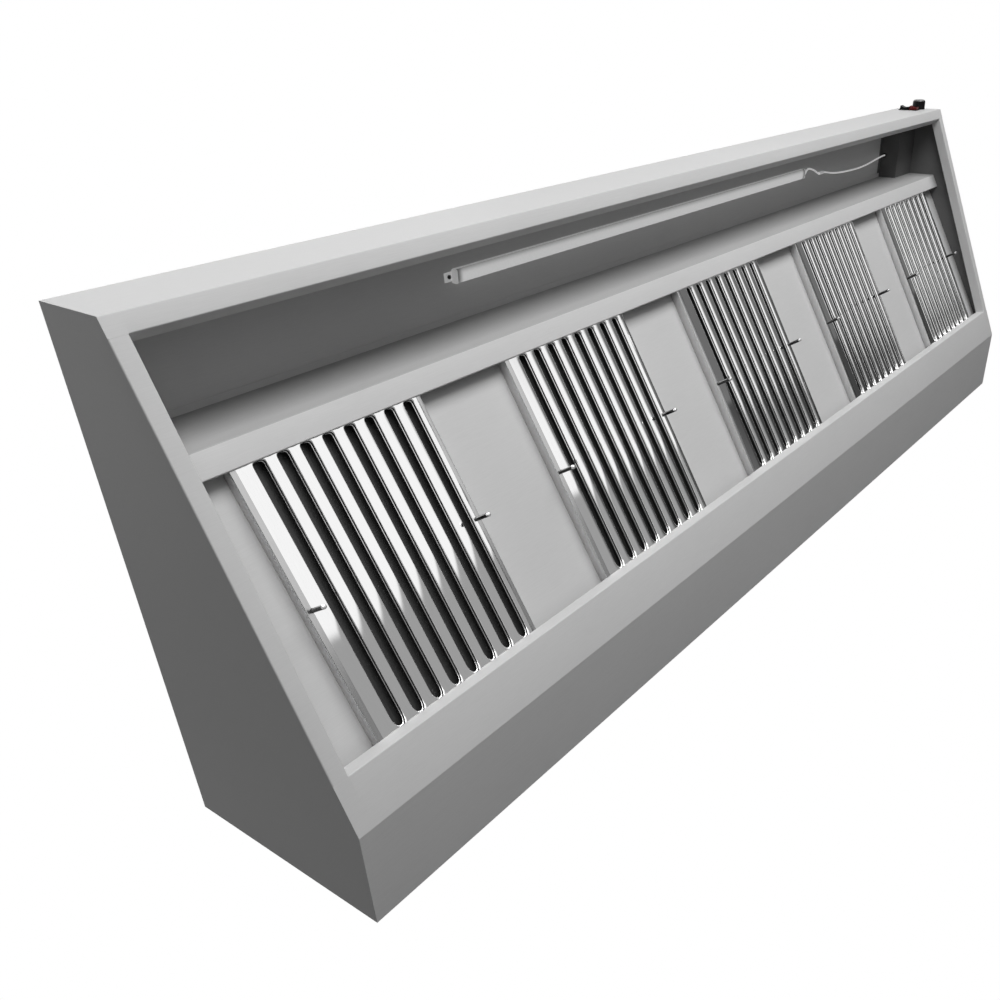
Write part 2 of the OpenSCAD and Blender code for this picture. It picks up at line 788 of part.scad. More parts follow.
// Board with its row of light chips, against the lamp channel's web
module lamp_light_board() {
    top = -sheet - lamp_wall - board_sheet;
    long = lamp_length - lamp_cap - lamp_cap;
    color("khaki") placed() {
        translate([lamp_shift - long * half, -lamp_from_wall - board_width * half, top])
            cube([long, board_width, board_sheet]);
        for (k = [0:chip_count - 1])
            translate([lamp_left + (k + half) * lamp_length / chip_count - chip_width * half,
                    -lamp_from_wall - chip_width * half, top - chip_height])
                cube([chip_width, chip_width, chip_height]);
    }
}

// Diffuser that closes the lamp channel from below
module lamp_diffuser() {
    low = -sheet - lamp_body_depth - lamp_diffuser_depth;
    color("white") placed() difference() {
        translate([lamp_left, -lamp_from_wall - lamp_width * half, low])
            cube([lamp_length, lamp_width, lamp_diffuser_depth]);
        translate([lamp_left - past, -lamp_from_wall - lamp_width * half + lamp_wall, low + lamp_wall])
            cube([lamp_length + past + past, lamp_width - lamp_wall - lamp_wall, lamp_diffuser_depth]);
    }
}

// End caps of the lamp, clear of the tabs
module lamp_end_caps() {
    low = -sheet - lamp_body_depth - lamp_diffuser_depth;
    color("white") placed()
        for (x = [lamp_left - lamp_cap, lamp_right])
            translate([x, -lamp_from_wall - lamp_width * half, low])
                cube([lamp_cap, lamp_width, lamp_diffuser_depth + lamp_body_depth - lamp_wall]);
}

// Two screws that hold the lamp under the top sheet
module lamp_screws() {
    color("silver") placed() lamp_screw_places() screw(lamp_wall + sheet + screw_tail);
}

// One corner of the lead's route
function lead_point(i) =
    let (s = lead_route_shares[i],
        e = min(1, s[0] / level_share))
    [lead_start + s[0] * (lead_stop - lead_start),
        -lamp_from_wall + e * (lamp_from_wall - gland_from_wall) + s[1] * lead_sway,
        -lead_start_drop - e * (gland_drop - lead_start_drop) - s[2] * lead_sag];
// Direction of the lead at one corner
function lead_way(i) =
    let (last = len(lead_route_shares) - 1)
    i == 0 || i == last ? [1, 0, 0] : unit(lead_point(i + 1) - lead_point(i - 1));

// Lead from the lamp to the cable duct
module lamp_lead() {
    last = len(lead_route_shares) - 1;
    step = full_turn / lead_sides;
    rings = [for (i = [0:last]) for (k = [0:lead_sides - 1])
        let (w = i == connector_first || i == connector_last ? [1, 0, 0] : lead_way(i),
            a = unit(cross([0, 0, 1], w)),
            b = cross(w, a))
        lead_point(i) + lead_radius * (a * cos(k * step) + b * sin(k * step))];
    sides = [for (i = [0:last - 1]) for (k = [0:lead_sides - 1])
        let (m = (k + 1) % lead_sides)
        [i * lead_sides + k, (i + 1) * lead_sides + k, (i + 1) * lead_sides + m, i * lead_sides + m]];
    first_end = [for (k = [0:lead_sides - 1]) k];
    last_end = [for (k = [lead_sides - 1:-1:0]) last * lead_sides + k];
    color("white") placed() polyhedron(points = rings, faces = concat(sides, [first_end, last_end]));
}

// In-line connector round the lead's straight stretch
module lead_connector() {
    a = lead_point(connector_first);
    b = lead_point(connector_last);
    inset = (b[0] - a[0]) * connector_free_share;
    color("white") placed() translate([a[0] + inset, (a[1] + b[1]) * half, (a[2] + b[2]) * half])
        rotate([0, right_angle, 0]) difference() {
            cylinder(d = connector_diameter, h = b[0] - a[0] - inset - inset);
            translate([0, 0, -past]) cylinder(r = lead_radius + connector_play, h = b[0] - a[0]);
        }
}

// Rubber gland in the duct's left wall
module lead_gland() {
    color("black") placed() translate([duct_left, -gland_from_wall, -gland_drop]) rotate([0, right_angle, 0])
        difference() {
            union() {
                translate([0, 0, -gland_width * 0.3]) cylinder(d = gland_diameter, h = gland_width * 0.3);
                cylinder(d = gland_neck, h = duct_sheet);
                translate([0, 0, duct_sheet]) cylinder(d = gland_diameter, h = gland_width * 0.3);
            }
            translate([0, 0, -gland_width]) cylinder(r = lead_radius + eps, h = gland_width * 3);
        }
}

// Places of the duct's four screws, on the underside of its top tabs
module duct_screw_places() {
    for (y = [-plenum_depth - plenum_flange - duct_tab, duct_tab + switch_box_depth - hood_depth])
        translate([duct_left - duct_tab * half, y, -sheet - duct_sheet]) children();
}

// Cable duct down to the plenum plate and the deeper switch box behind the front face
module cable_duct() {
    front = -hood_depth + sheet;
    box_back = front + switch_box_depth;
    wide = inner_half - duct_left;
    deep = -plenum_depth - box_back;
    color("gainsboro") placed() difference() {
        union() {
            translate([duct_left, box_back, -duct_height]) cube([wide, deep, duct_height - sheet]);
            translate([duct_left, front, -switch_box_height])
                cube([wide, switch_box_depth, switch_box_height - sheet]);
            translate([duct_left - duct_tab, front + front_lip, -sheet - duct_sheet])
                cube([duct_tab + duct_sheet, -plenum_depth - plenum_flange - front - front_lip - past,
                    duct_sheet]);
        }
        translate([duct_left + duct_sheet, box_back - duct_sheet - past, duct_sheet - duct_height])
            cube([wide, deep + duct_sheet + past + past, duct_height]);
        translate([duct_left + duct_sheet, front - past, duct_sheet - switch_box_height])
            cube([wide, switch_box_depth + past - duct_sheet, switch_box_height]);
        translate([duct_left - duct_tab - past, -plenum_depth - plenum_flange, -sheet - sheet])
            cube([wide + duct_tab + past + past, plenum_flange + past, sheet]);
        duct_screw_places() screw_hole();
        translate([duct_left - past, -gland_from_wall, -gland_drop]) rotate([0, right_angle, 0])
            cylinder(d = gland_neck, h = duct_sheet + past + past);
    }
}

// Screws of the cable duct
module duct_screws() {
    color("silver") placed() duct_screw_places() screw(duct_sheet + sheet + screw_tail);
}

// Terminal block on the floor of the duct
module terminal_block() {
    step = terminal_length / terminal_count;
    left = duct_left + duct_width * 0.3;
    color("ivory") placed() translate([left, -gland_from_wall, duct_sheet - duct_height])
        difference() {
            cube([terminal_length, terminal_width, terminal_height]);
            for (k = [0:terminal_count - 1]) for (y = [0.28, 0.72])
                translate([(k + half) * step, y * terminal_width, terminal_height * half])
                    cylinder(d = step * half, h = terminal_height);
        }
}

// Supply gland on the top sheet over the duct
module supply_gland() {
    color("dimgray") placed() translate([knob_x - knob_from_end, -supply_from_wall, 0]) difference() {
        union() {
            cylinder(d = supply_diameter, h = supply_height * 0.4, $fn = hex_sides);
            translate([0, 0, supply_height * 0.4])
                cylinder(d = supply_diameter * 0.8, h = supply_height * 0.6);
            translate([0, 0, -sheet - supply_height * 0.3])
                cylinder(d = supply_diameter * 0.75 - seam, h = supply_height * 0.3 + sheet + past);
        }
        translate([0, 0, -supply_height]) cylinder(d = supply_bore, h = supply_height * 3);
    }
}

// Places of a switch: its own X down the front face, Y across and Z out of it
module at_switch(n) {
    translate([switch_x, -hood_depth, -bezel_drop - n * switch_pitch])
        rotate([right_angle, 0, 0]) rotate([0, 0, -right_angle]) children();
}

// Switch body with a bezel, a hollow for the rocker and two terminal tabs
module switch_body(n) {
    body_w = cutout_length - seam - seam;
    body_h = cutout_width - seam - seam;
    hollow_w = body_w - switch_wall - switch_wall;
    hollow_h = body_h - switch_wall - switch_wall;
    color("black") placed() at_switch(n) difference() {
        union() {
            translate([-bezel_length * half, -bezel_width * half, 0])
                cube([bezel_length, bezel_width, bezel_proud]);
            translate([-body_w * half, -body_h * half, -switch_depth])
                cube([body_w, body_h, switch_depth + past]);
            for (x = [-body_w * 0.25, body_w * 0.25])
                translate([x - switch_wall * half, -body_h * 0.2, -switch_depth - body_h * half])
                    cube([switch_wall, body_h * 0.4, body_h * half + past]);
        }
        translate([-hollow_w * half, -hollow_h * half, -switch_depth * 0.6])
            cube([hollow_w, hollow_h, switch_depth]);
        rotate([right_angle, 0, 0]) translate([0, 0, -body_h])
            cylinder(r = pivot_diameter * half + pivot_play, h = body_h + body_h);
    }
}

// Rocker at rest, with one end pressed in
module rocker(n) {
    r = rocker_length * half;
    body_h = cutout_width - seam - seam;
    color(n == 0 ? "black" : "red") placed() at_switch(n) rotate([0, rocker_tilt, 0]) {
        rotate([right_angle, 0, 0]) translate([0, 0, -rocker_width * half]) linear_extrude(rocker_width)
            polygon([[-r, -rocker_skirt], [0, -rocker_hollow - rocker_hollow], [r, -rocker_skirt],
                [r, rocker_proud], [0, rocker_proud - rocker_hollow], [-r, rocker_proud]]);
        rotate([right_angle, 0, 0]) translate([0, 0, -body_h * half])
            cylinder(d = pivot_diameter, h = body_h);
    }
}

module light_switch_body() { switch_body(0); }
module fan_switch_body() { switch_body(1); }
module light_rocker() { rocker(0); }
module fan_rocker() { rocker(1); }

// The knob's place: Z out of the front face
module at_knob() {
    translate([knob_x, -hood_depth, -knob_drop]) rotate([right_angle, 0, 0]) children();
}

// Speed control behind the front face, with its threaded bush
module speed_control_body() {
    color("dimgray") placed() at_knob() difference() {
        union() {
            translate([-speed_body * half, -speed_body * half, -sheet - speed_body_depth])
                cube([speed_body, speed_body, speed_body_depth]);
            translate([0, 0, -sheet - past]) cylinder(d = knob_bush, h = knob_height * 0.35 + sheet + past);
        }
        translate([0, 0, -sheet - speed_body_depth * half])
            cylinder(r = knob_shaft * half + pivot_play, h = speed_body_depth + knob_height);
    }
}

// Nut that clamps the speed control to the front face
module speed_control_nut() {
    color("silver") placed() at_knob() difference() {
        cylinder(d = knob_bush * 1.6, h = knob_height * 0.18, $fn = hex_sides);
        translate([0, 0, -past]) cylinder(d = knob_bush, h = knob_height);
    }
}

// Shaft that the knob turns
module speed_control_shaft() {
    color("gray") placed() at_knob() translate([0, 0, -sheet - speed_body_depth * 0.4])
        cylinder(d = knob_shaft, h = speed_body_depth * 0.4 + sheet + knob_height * 0.75);
}

// Knob with a hollow for the nut and a seat for its disc
module speed_knob() {
    top = knob_gap + knob_height;
    color("black") placed() at_knob() rotate_extrude() polygon([
        [knob_shaft * half, knob_height * half],
        [knob_bush, knob_height * half],
        [knob_bush, knob_gap],
        [knob_diameter * half, knob_gap],
        [knob_diameter * half, top - knob_bevel],
        [knob_diameter * half - knob_bevel, top],
        [knob_disc * half, top],
        [knob_disc * half, top - disc_sink],
        [knob_shaft * half, top - disc_sink]]);
}

// Pale disc in the top of the knob, with a raised pointer
module speed_knob_disc() {
    top = knob_gap + knob_height;
    color("silver") placed() at_knob() {
        translate([0, 0, top - disc_sink]) cylinder(d = knob_disc - seam, h = disc_sink + disc_proud);
        translate([-pointer_width * half, knob_shaft * half, top])
            cube([pointer_width, knob_disc * half - knob_shaft, pointer_proud]);
    }
}

// Area of the scroll in depth and height round the impeller's axis, grown by a wall
module scroll_area(grow, top) {
    e = scroll_growth * half;
    r = scroll_radius + grow;
    big = scroll_radius * 3;
    intersection() {
        translate([e, -e]) circle(r = r);
        translate([e, -e]) square(big);
    }
    intersection() {
        translate([-e, -e]) circle(r = r + scroll_growth);
        translate([-e, -e - big]) square(big);
    }
    intersection() {
        translate([-e, e]) circle(r = r + scroll_growth + scroll_growth);
        translate([-e - big, e - big]) square(big);
    }
    translate([-e - eps, -e - eps]) square([e + e + eps + eps, r + eps]);
    translate([throat_front - grow, e - eps]) square([throat_depth + grow + grow, top - e + eps]);
    translate([throat_back - past, -e]) square([e - throat_back + past, r]);
    translate([throat_back - past, -e]) square([past - throat_back, e + e]);
}

// Moves a section of the scroll to the impeller's axis
module at_axis() {
    translate([0, -blower_from_wall, -blower_drop]) children();
}

// Wrapper of the blower's scroll, open at its outlet under the top sheet
module blower_scroll() {
    top = blower_drop - sheet - sheet;
    color("silver") placed() at_axis() along_x(-scroll_half, scroll_half) difference() {
        scroll_area(sheet, top);
        scroll_area(0, top + past);
    }
}

// The scroll's two side plates, each with a round inlet
module blower_side_plates() {
    top = blower_drop - sheet - sheet;
    color("silver") placed() difference() {
        for (x = [-scroll_half - sheet, scroll_half])
            at_axis() along_x(x, x + sheet) scroll_area(sheet, top);
        at_axis() rotate([0, right_angle, 0])
            cylinder(r = inlet_radius, h = scroll_half * 4, center = true);
        at_axis() bracket_screw_places() screw_hole();
    }
}

// Flange round the scroll's outlet, under the top sheet
module blower_outlet_flange() {
    out = scroll_half + sheet;
    color("silver") placed() difference() {
        translate([-out - throat_flange,
                throat_front - blower_from_wall - sheet - throat_flange, -sheet - sheet])
            cube([out + out + throat_flange + throat_flange,
                throat_depth + sheet + sheet + throat_flange + throat_flange, sheet]);
        translate([-scroll_half, throat_front - blower_from_wall, -sheet * 4])
            cube([scroll_half + scroll_half, throat_depth, sheet * 4]);
        collar_screw_places() screw_hole();
    }
}

// The impeller's place: Z along the shaft to the right
module at_impeller() {
    at_axis() rotate([0, right_angle, 0]) children();
}

// The impeller's middle disc with its hub
module impeller_disc() {
    color("lightgray") placed() at_impeller() difference() {
        union() {
            translate([0, 0, -wheel_disc * half]) cylinder(r = impeller_radius, h = wheel_disc);
            translate([0, 0, -hub_length * half]) cylinder(d = hub_diameter, h = hub_length);
        }
        translate([0, 0, -hub_length]) cylinder(d = shaft_diameter, h = hub_length + hub_length);
    }
}

// The two rings at the impeller's ends
module impeller_rings() {
    wide = impeller_width * half;
    color("lightgray") placed() at_impeller()
        for (z = [-wide, wide - wheel_ring]) translate([0, 0, z]) difference() {
            cylinder(r = impeller_radius, h = wheel_ring);
            translate([0, 0, -past])
                cylinder(r = impeller_radius - blade_depth, h = wheel_ring + past + past);
        }
}

// Blades on both sides of the disc, riveted to it and to the rings
module impeller_blades() {
    long = impeller_width * half - wheel_ring - wheel_disc * half;
    color("lightgray") placed() at_impeller()
        for (k = [0:blade_count - 1]) rotate([0, 0, k * full_turn / blade_count])
            for (z = [wheel_disc * half, -wheel_disc * half - long])
                translate([impeller_radius - blade_margin - blade_depth * half, 0, z])
                    rotate([0, 0, blade_angle]) translate([-blade_depth * 0.45, -blade_sheet * half, 0])
                        cube([blade_depth * 0.9, blade_sheet, long]);
}

// Motor shaft, through the hub
module blower_shaft() {
    color("gray") placed() at_impeller() translate([0, 0, -scroll_half * 0.8])
        cylinder(d = shaft_diameter, h = scroll_half * 0.8 + hub_length);
}

// Motor inside the impeller's left half
module blower_motor() {
    far = -scroll_half - sheet;
    near = -motor_gap;
    color("dimgray") placed() at_impeller() difference() {
        union() {
            translate([0, 0, far]) cylinder(r = motor_radius, h = near - far - motor_nose);
            translate([0, 0, near - motor_nose - past]) cylinder(r = motor_radius * half, h = motor_nose);
        }
        translate([0, 0, -scroll_half * 0.85])
            cylinder(r = shaft_diameter * half + pivot_play, h = scroll_half);
    }
}

// Places of the bracket screws, from the axis
module bracket_screw_places() {
    for (k = [0:arm_count - 1]) rotate([k * full_turn / arm_count, 0, 0])
        translate([-scroll_half - sheet - bracket_sheet, 0, inlet_radius + bracket_arm * half])
            rotate([0, right_angle, 0]) children();
}

// Three armed bracket that carries the motor in the left inlet
module motor_bracket() {
    color("gray") placed() at_impeller() translate([0, 0, -scroll_half - sheet - bracket_sheet])
        linear_extrude(bracket_sheet) difference() {
            union() {
                circle(r = motor_radius);
                bracket_arms() translate([0, -bracket_arm * half])
                    square([inlet_radius + bracket_arm, bracket_arm]);
            }
            bracket_arms() translate([inlet_radius + bracket_arm * half, 0]) circle(d = screw_stem);
        }
}

// Directions of the bracket's arms round the shaft
module bracket_arms() {
    for (k = [0:arm_count - 1]) rotate([0, 0, (k + half) * full_turn / arm_count]) children();
}

// Screws of the motor bracket
module bracket_screws() {
    color("silver") placed() at_axis() bracket_screw_places() screw(bracket_sheet + sheet + screw_tail);
}

// Places of the four collar screws, on top of the collar's flange
module collar_screw_places() {
    reach_x = scroll_half + sheet + throat_flange * half;
    reach_y = (throat_depth + throat_flange) * half + sheet;
    for (x = [-reach_x, reach_x]) for (y = [-reach_y, reach_y])
        translate([x, y - collar_from_wall, collar_sheet]) rotate([half_turn, 0, 0]) children();
}

// Round exhaust collar on a square flange over the blower's outlet
module exhaust_collar() {
    color("silver") placed() difference() {
        union() {
            translate([-collar_half, -collar_from_wall - collar_half, 0])
                cube([collar_half + collar_half, collar_half + collar_half, collar_sheet]);
            translate([0, -collar_from_wall, 0]) cylinder(r = collar_radius, h = collar_height);
        }
        translate([0, -collar_from_wall, -past])
            cylinder(r = collar_radius - collar_sheet, h = collar_height + past + past);
        collar_screw_places() screw_hole();
    }
}

// Screws through the collar's flange, the top sheet and the blower's flange
module collar_screws() {
    color("silver") placed() collar_screw_places() screw(collar_sheet + sheet + sheet + screw_tail);
}

back_panel();
top_panel();
left_side_panel();
right_side_panel();
front_fascia();
gutter_pan();
plenum_front_plate();
filter_bank_plate();
plenum_gussets();
filter_rests();
wall_rails();
filter_1_face();
filter_2_face();
filter_3_face();
filter_4_face();
filter_5_face();
filter_1_baffles();
filter_2_baffles();
filter_3_baffles();
filter_4_baffles();
filter_5_baffles();
filter_1_pulls();
filter_2_pulls();
filter_3_pulls();
filter_4_pulls();
filter_5_pulls();
lamp_body();
lamp_light_board();
lamp_diffuser();
lamp_end_caps();
lamp_screws();
lamp_lead();
lead_connector();
lead_gland();
cable_duct();
duct_screws();
terminal_block();
supply_gland();
light_switch_body();
light_rocker();
fan_switch_body();
fan_rocker();
speed_control_body();
speed_control_nut();
speed_control_shaft();
speed_knob();
speed_knob_disc();
blower_scroll();
blower_side_plates();
blower_outlet_flange();
impeller_disc();
impeller_rings();
impeller_blades();
blower_shaft();
blower_motor();
motor_bracket();
bracket_screws();
exhaust_collar();
collar_screws();
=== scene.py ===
"""A wall mount canopy hood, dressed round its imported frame.

The hood is 3 m of folded satin sheet with five mirror finished baffle filters, a lamp under the
top sheet with its lead, two rocker switches and a speed knob. Lengths are written in millimetres
from the top of the wall face, X right, minus Y out of the wall, Z up, and moved to the frame.
"""

import json
import math

import bmesh
import bpy
import numpy as np
from mathutils import Matrix, Vector


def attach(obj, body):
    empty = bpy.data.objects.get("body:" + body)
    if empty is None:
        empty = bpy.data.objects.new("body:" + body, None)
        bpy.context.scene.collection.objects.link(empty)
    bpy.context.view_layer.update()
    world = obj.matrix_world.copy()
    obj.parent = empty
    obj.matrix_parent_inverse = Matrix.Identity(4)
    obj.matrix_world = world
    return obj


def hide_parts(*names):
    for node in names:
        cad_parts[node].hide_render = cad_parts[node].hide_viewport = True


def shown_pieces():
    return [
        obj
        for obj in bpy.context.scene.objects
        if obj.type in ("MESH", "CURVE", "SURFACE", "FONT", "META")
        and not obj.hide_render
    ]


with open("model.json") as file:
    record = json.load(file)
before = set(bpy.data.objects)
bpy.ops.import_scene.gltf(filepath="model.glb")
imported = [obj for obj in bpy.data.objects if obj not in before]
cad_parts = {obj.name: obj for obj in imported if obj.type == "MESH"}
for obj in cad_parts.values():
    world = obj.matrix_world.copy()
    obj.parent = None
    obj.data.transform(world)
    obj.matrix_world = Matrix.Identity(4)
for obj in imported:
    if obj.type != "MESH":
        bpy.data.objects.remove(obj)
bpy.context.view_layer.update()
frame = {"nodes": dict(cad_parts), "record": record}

MM = 0.001
TINY = 1e-6  # places nearer than this are one place
TOP_HEIGHT = 225.0  # the top of the wall face over the wall bolts' centre

# Sizes of the canopy, as its solids have them
WIDTH, DEPTH, HEIGHT = 3000.0, 900.0, 450.0
FASCIA, HEEL, SHEET = 138.0, 183.0, 1.5
RIM, FRONT_LEAN, FRONT_LIP, SIDE_LIP = 29.0, 6.0, 30.0, 28.0
GUTTER, GUTTER_LIP, GUTTER_LEAN = 91.0, 24.0, 6.0
PLENUM, PLENUM_FLANGE, RAIL, RAIL_STAND = 696.0, 12.0, 42.0, 9.0
FILTER_TIP, FILTER_TOE, TOE_RISE, HEAD_GAP = math.radians(6.5), 15.3, 23.5, 24.3
FILTERS, FILTER_W, FILTER_D, PITCH = 5, 380.0, 20.0, 600.0
SLOTS, SLOT_PITCH, SLOT_W, SLOT_BORDER, SIDE_BORDER = 8, 43.0, 22.0, 20.0, 18.0
LAMP_MIDDLE, LAMP_LONG, LAMP_W, LAMP_FROM_WALL = -2.0, 1485.0, 26.0, 781.0
LAMP_BODY, LAMP_COVER, LAMP_CAP = 9.0, 5.0, 5.0
BEND, RAIL_BEND = 1.75, 1.3  # middle radii of the folded corners
SEAM = 0.1  # between sheets that meet


def at(points):
    """Millimetres from the top of the wall face to metres in the frame."""
    p = np.asarray(points, float).reshape(-1, 3) * MM
    p[:, 2] += TOP_HEIGHT * MM
    return p


# ---------------------------------------------------------------- camera

CAMERA_FOCAL = 955.87  # focal length in pixels of a 1000 pixel frame
FRAME_PIXELS = 1000.0
SENSOR = 36.0
CAMERA_CENTRE = (618.06, 600.04)  # the pixel that the lens points at
CAMERA_PLACE = (-2.0909, -1.2203, -1.1265)
CAMERA_TURN = (0.509384, -0.924279, -0.277195)  # from the hood's axes, axis times angle


def make_camera():
    """Right, down and forward are the rows of the turn; Blender looks along minus Z with Y up."""
    data = bpy.data.cameras.new("camera")
    data.sensor_width = SENSOR
    data.lens = CAMERA_FOCAL / FRAME_PIXELS * SENSOR
    data.shift_x = 0.5 - CAMERA_CENTRE[0] / FRAME_PIXELS
    data.shift_y = CAMERA_CENTRE[1] / FRAME_PIXELS - 0.5
    data.clip_start, data.clip_end = 0.05, 100.0
    turn = Vector(CAMERA_TURN)
    rows = Matrix.Rotation(turn.length, 3, turn.normalized())
    axes = Matrix((rows[0], -rows[1], -rows[2])).transposed()
    camera = bpy.data.objects.new("camera", data)
    bpy.context.scene.collection.objects.link(camera)
    camera.matrix_world = Matrix.Translation(CAMERA_PLACE) @ axes.to_4x4()
    bpy.context.scene.camera = camera


make_camera()
bpy.context.scene.view_settings.view_transform = "Standard"

# ---------------------------------------------------------------- materials

NOISE_LOW, NOISE_HIGH = 0.3, 0.7  # where most of the noise lies
GRAIN_DEPTH = 0.0005


def node(tree, kind, **values):
    """Adds a node and sets its properties, or its inputs where the name is an input's."""
    made = tree.nodes.new(kind)
    for key, value in values.items():
        if key in made.inputs:
            made.inputs[key].default_value = value
        else:
            setattr(made, key, value)
    return made


def ranged(tree, low=0.0, high=1.0, near=0.0, far=1.0, smooth=False):
    """Adds a node that carries low to high onto near to far."""
    return node(tree, "ShaderNodeMapRange", interpolation_type="SMOOTHSTEP" if smooth else "LINEAR",
                **{"From Min": low, "From Max": high, "To Min": near, "To Max": far})


def wire(tree, *links):
    """Links nodes. Each link is a node and its output, then a node and its input."""
    for source, output, target, socket in links:
        tree.links.new(source.outputs[output], target.inputs[socket])


def bare_tree(owner):
    """The emptied node tree of a material or a world."""
    owner.use_nodes = True
    owner.node_tree.nodes.clear()
    return owner.node_tree


def make_group(name, inputs, outputs):
    """A node group with its sockets, and its two end nodes."""
    tree = bpy.data.node_groups.new(name, "ShaderNodeTree")
    for side, sockets in (("INPUT", inputs), ("OUTPUT", outputs)):
        for socket, kind in sockets.items():
            tree.interface.new_socket(name=socket, in_out=side, socket_type="NodeSocket" + kind)
    return tree, node(tree, "NodeGroupInput"), node(tree, "NodeGroupOutput")


def make_grain_group():
    """Fine grain: noise on stretched coordinates, mixed with a broad cloud of handling marks."""
    tree, start, end = make_group(
        "rolled grain",
        {"Place": "Vector", "Stretch": "Vector", "Size": "Float", "Cloud Size": "Float",
         "Cloud Share": "Float", "Rough Low": "Float", "Rough High": "Float"},
        {"Tone": "Float", "Roughness": "Float", "Height": "Float"})
    pull = node(tree, "ShaderNodeVectorMath", operation="MULTIPLY")
    fine = node(tree, "ShaderNodeTexNoise", Detail=4.0, Roughness=0.6)
    cloud = node(tree, "ShaderNodeTexNoise", Detail=5.0, Roughness=0.55)
    mix = node(tree, "ShaderNodeMix", data_type="FLOAT")
    rough = ranged(tree, NOISE_LOW, NOISE_HIGH)
    wire(tree,
         (start, "Place", pull, 0), (start, "Stretch", pull, 1), (pull, 0, fine, "Vector"),
         (start, "Size", fine, "Scale"), (start, "Place", cloud, "Vector"),
         (start, "Cloud Size", cloud, "Scale"), (start, "Cloud Share", mix, 0),
         (fine, "Fac", mix, 2), (cloud, "Fac", mix, 3), (mix, 0, end, "Tone"),
         (mix, 0, rough, "Value"), (start, "Rough Low", rough, "To Min"),
         (start, "Rough High", rough, "To Max"), (rough, "Result", end, "Roughness"),
         (fine, "Fac", end, "Height"))
    return tree


GRAIN = make_grain_group()


def finish_of(name, dark, light, rough, metal=0.0, size=400.0, stretch=(1.0, 1.0, 1.0),
              cloud=(3.0, 0.4), bump=0.02, specular=0.3, glow=0.0):
    """A Principled finish whose colour runs from dark to light with the grain."""
    made = bpy.data.materials.new(name)
    tree = bare_tree(made)
    shader = node(tree, "ShaderNodeBsdfPrincipled",
                  **{"Metallic": metal, "Specular IOR Level": specular})
    if glow:
        shader.inputs["Emission Color"].default_value = (*light, 1.0)
        shader.inputs["Emission Strength"].default_value = glow
    out = node(tree, "ShaderNodeOutputMaterial")
    place = node(tree, "ShaderNodeTexCoord")
    grain = node(tree, "ShaderNodeGroup", node_tree=GRAIN, Stretch=stretch, Size=size, **{
        "Cloud Size": cloud[0], "Cloud Share": cloud[1],
        "Rough Low": rough[0], "Rough High": rough[1]})
    spread = ranged(tree, NOISE_LOW, NOISE_HIGH)
    colour = node(tree, "ShaderNodeMix", data_type="RGBA")
    colour.inputs[6].default_value = (*dark, 1.0)  # A and B of a colour mix are its inputs 6 and 7
    colour.inputs[7].default_value = (*light, 1.0)
    relief = node(tree, "ShaderNodeBump", Strength=bump, Distance=GRAIN_DEPTH)
    wire(tree,
         (place, "Object", grain, "Place"), (grain, "Tone", spread, "Value"),
         (spread, "Result", colour, 0), (colour, 2, shader, "Base Color"),
         (grain, "Roughness", shader, "Roughness"), (grain, "Height", relief, "Height"),
         (relief, "Normal", shader, "Normal"), (shader, "BSDF", out, "Surface"))
    return made


def grey(value):
    """A colour without a hue."""
    return (value, value, value)


LENGTHWISE, ENDWISE = (0.03, 1.0, 1.0), (1.0, 0.03, 0.03)
SATIN = {"rough": (0.45, 0.55), "metal": 0.02, "size": 900.0, "specular": 0.06}
SHADED_INSIDE = {"rough": (0.5, 0.6), "metal": 0.02, "size": 500.0, "specular": 0.05}

satin = finish_of("satin sheet", grey(0.61), grey(0.67), stretch=LENGTHWISE, **SATIN)
# Painted shade: the plenum plate is the same satin sheet, painted darker for the shade it stands in
# behind the front
plate_painted_shade = finish_of("satin plenum plate painted shade", grey(0.41), grey(0.46), stretch=LENGTHWISE, **SATIN)
# Painted light: the filters' sides are their mirror steel, given a pale matt grey that sets their
# tone in shade and throws light onto the plate beside them
filter_side_painted_light = finish_of("satin filter side painted light", grey(0.84), grey(0.86), stretch=ENDWISE, bump=0.0,
                        **SATIN)
brushed_frame = finish_of("brushed filter frame", grey(0.5), grey(0.58), (0.16, 0.24), metal=1.0,
                          size=900.0, stretch=ENDWISE)
# Painted shade: the side sheets' inner faces are the same satin steel, painted dark for the shade
# inside the hood, the right one darker still
side_inside_painted_shade = finish_of("side face painted shade", grey(0.27), grey(0.33), **SHADED_INSIDE)
right_inside_painted_shade = finish_of("right side face painted deeper shade", grey(0.15), grey(0.2), **SHADED_INSIDE)
# Painted shade: the cable duct is painted near black for the shade at the hood's right end
duct_painted_shade = finish_of("duct steel painted shade", grey(0.12), grey(0.17), (0.45, 0.55), metal=0.1,
                       specular=0.05)
zinc = finish_of("zinc sheet", grey(0.33), (0.47, 0.48, 0.49), (0.4, 0.55), metal=0.6, size=60.0,
                 cloud=(9.0, 0.7))
mirror = finish_of("mirror steel", grey(0.88), grey(0.93), (0.03, 0.06), metal=1.0, size=700.0,
                   stretch=(1.0, 0.05, 0.05), bump=0.01)
# Painted shade: the baffles seen through the slots are painted near black for the shade inside the
# filter
trough_painted_shade = finish_of("trough steel painted shade", grey(0.045), grey(0.075), (0.32, 0.45), metal=0.45,
                   size=500.0, stretch=(1.0, 0.04, 0.04), specular=0.2)
barrel = finish_of("dark pull steel", grey(0.04), grey(0.07), (0.2, 0.3), metal=0.8, size=500.0)
plated = finish_of("bright plated steel", grey(0.68), grey(0.8), (0.12, 0.2), metal=1.0, size=600.0)
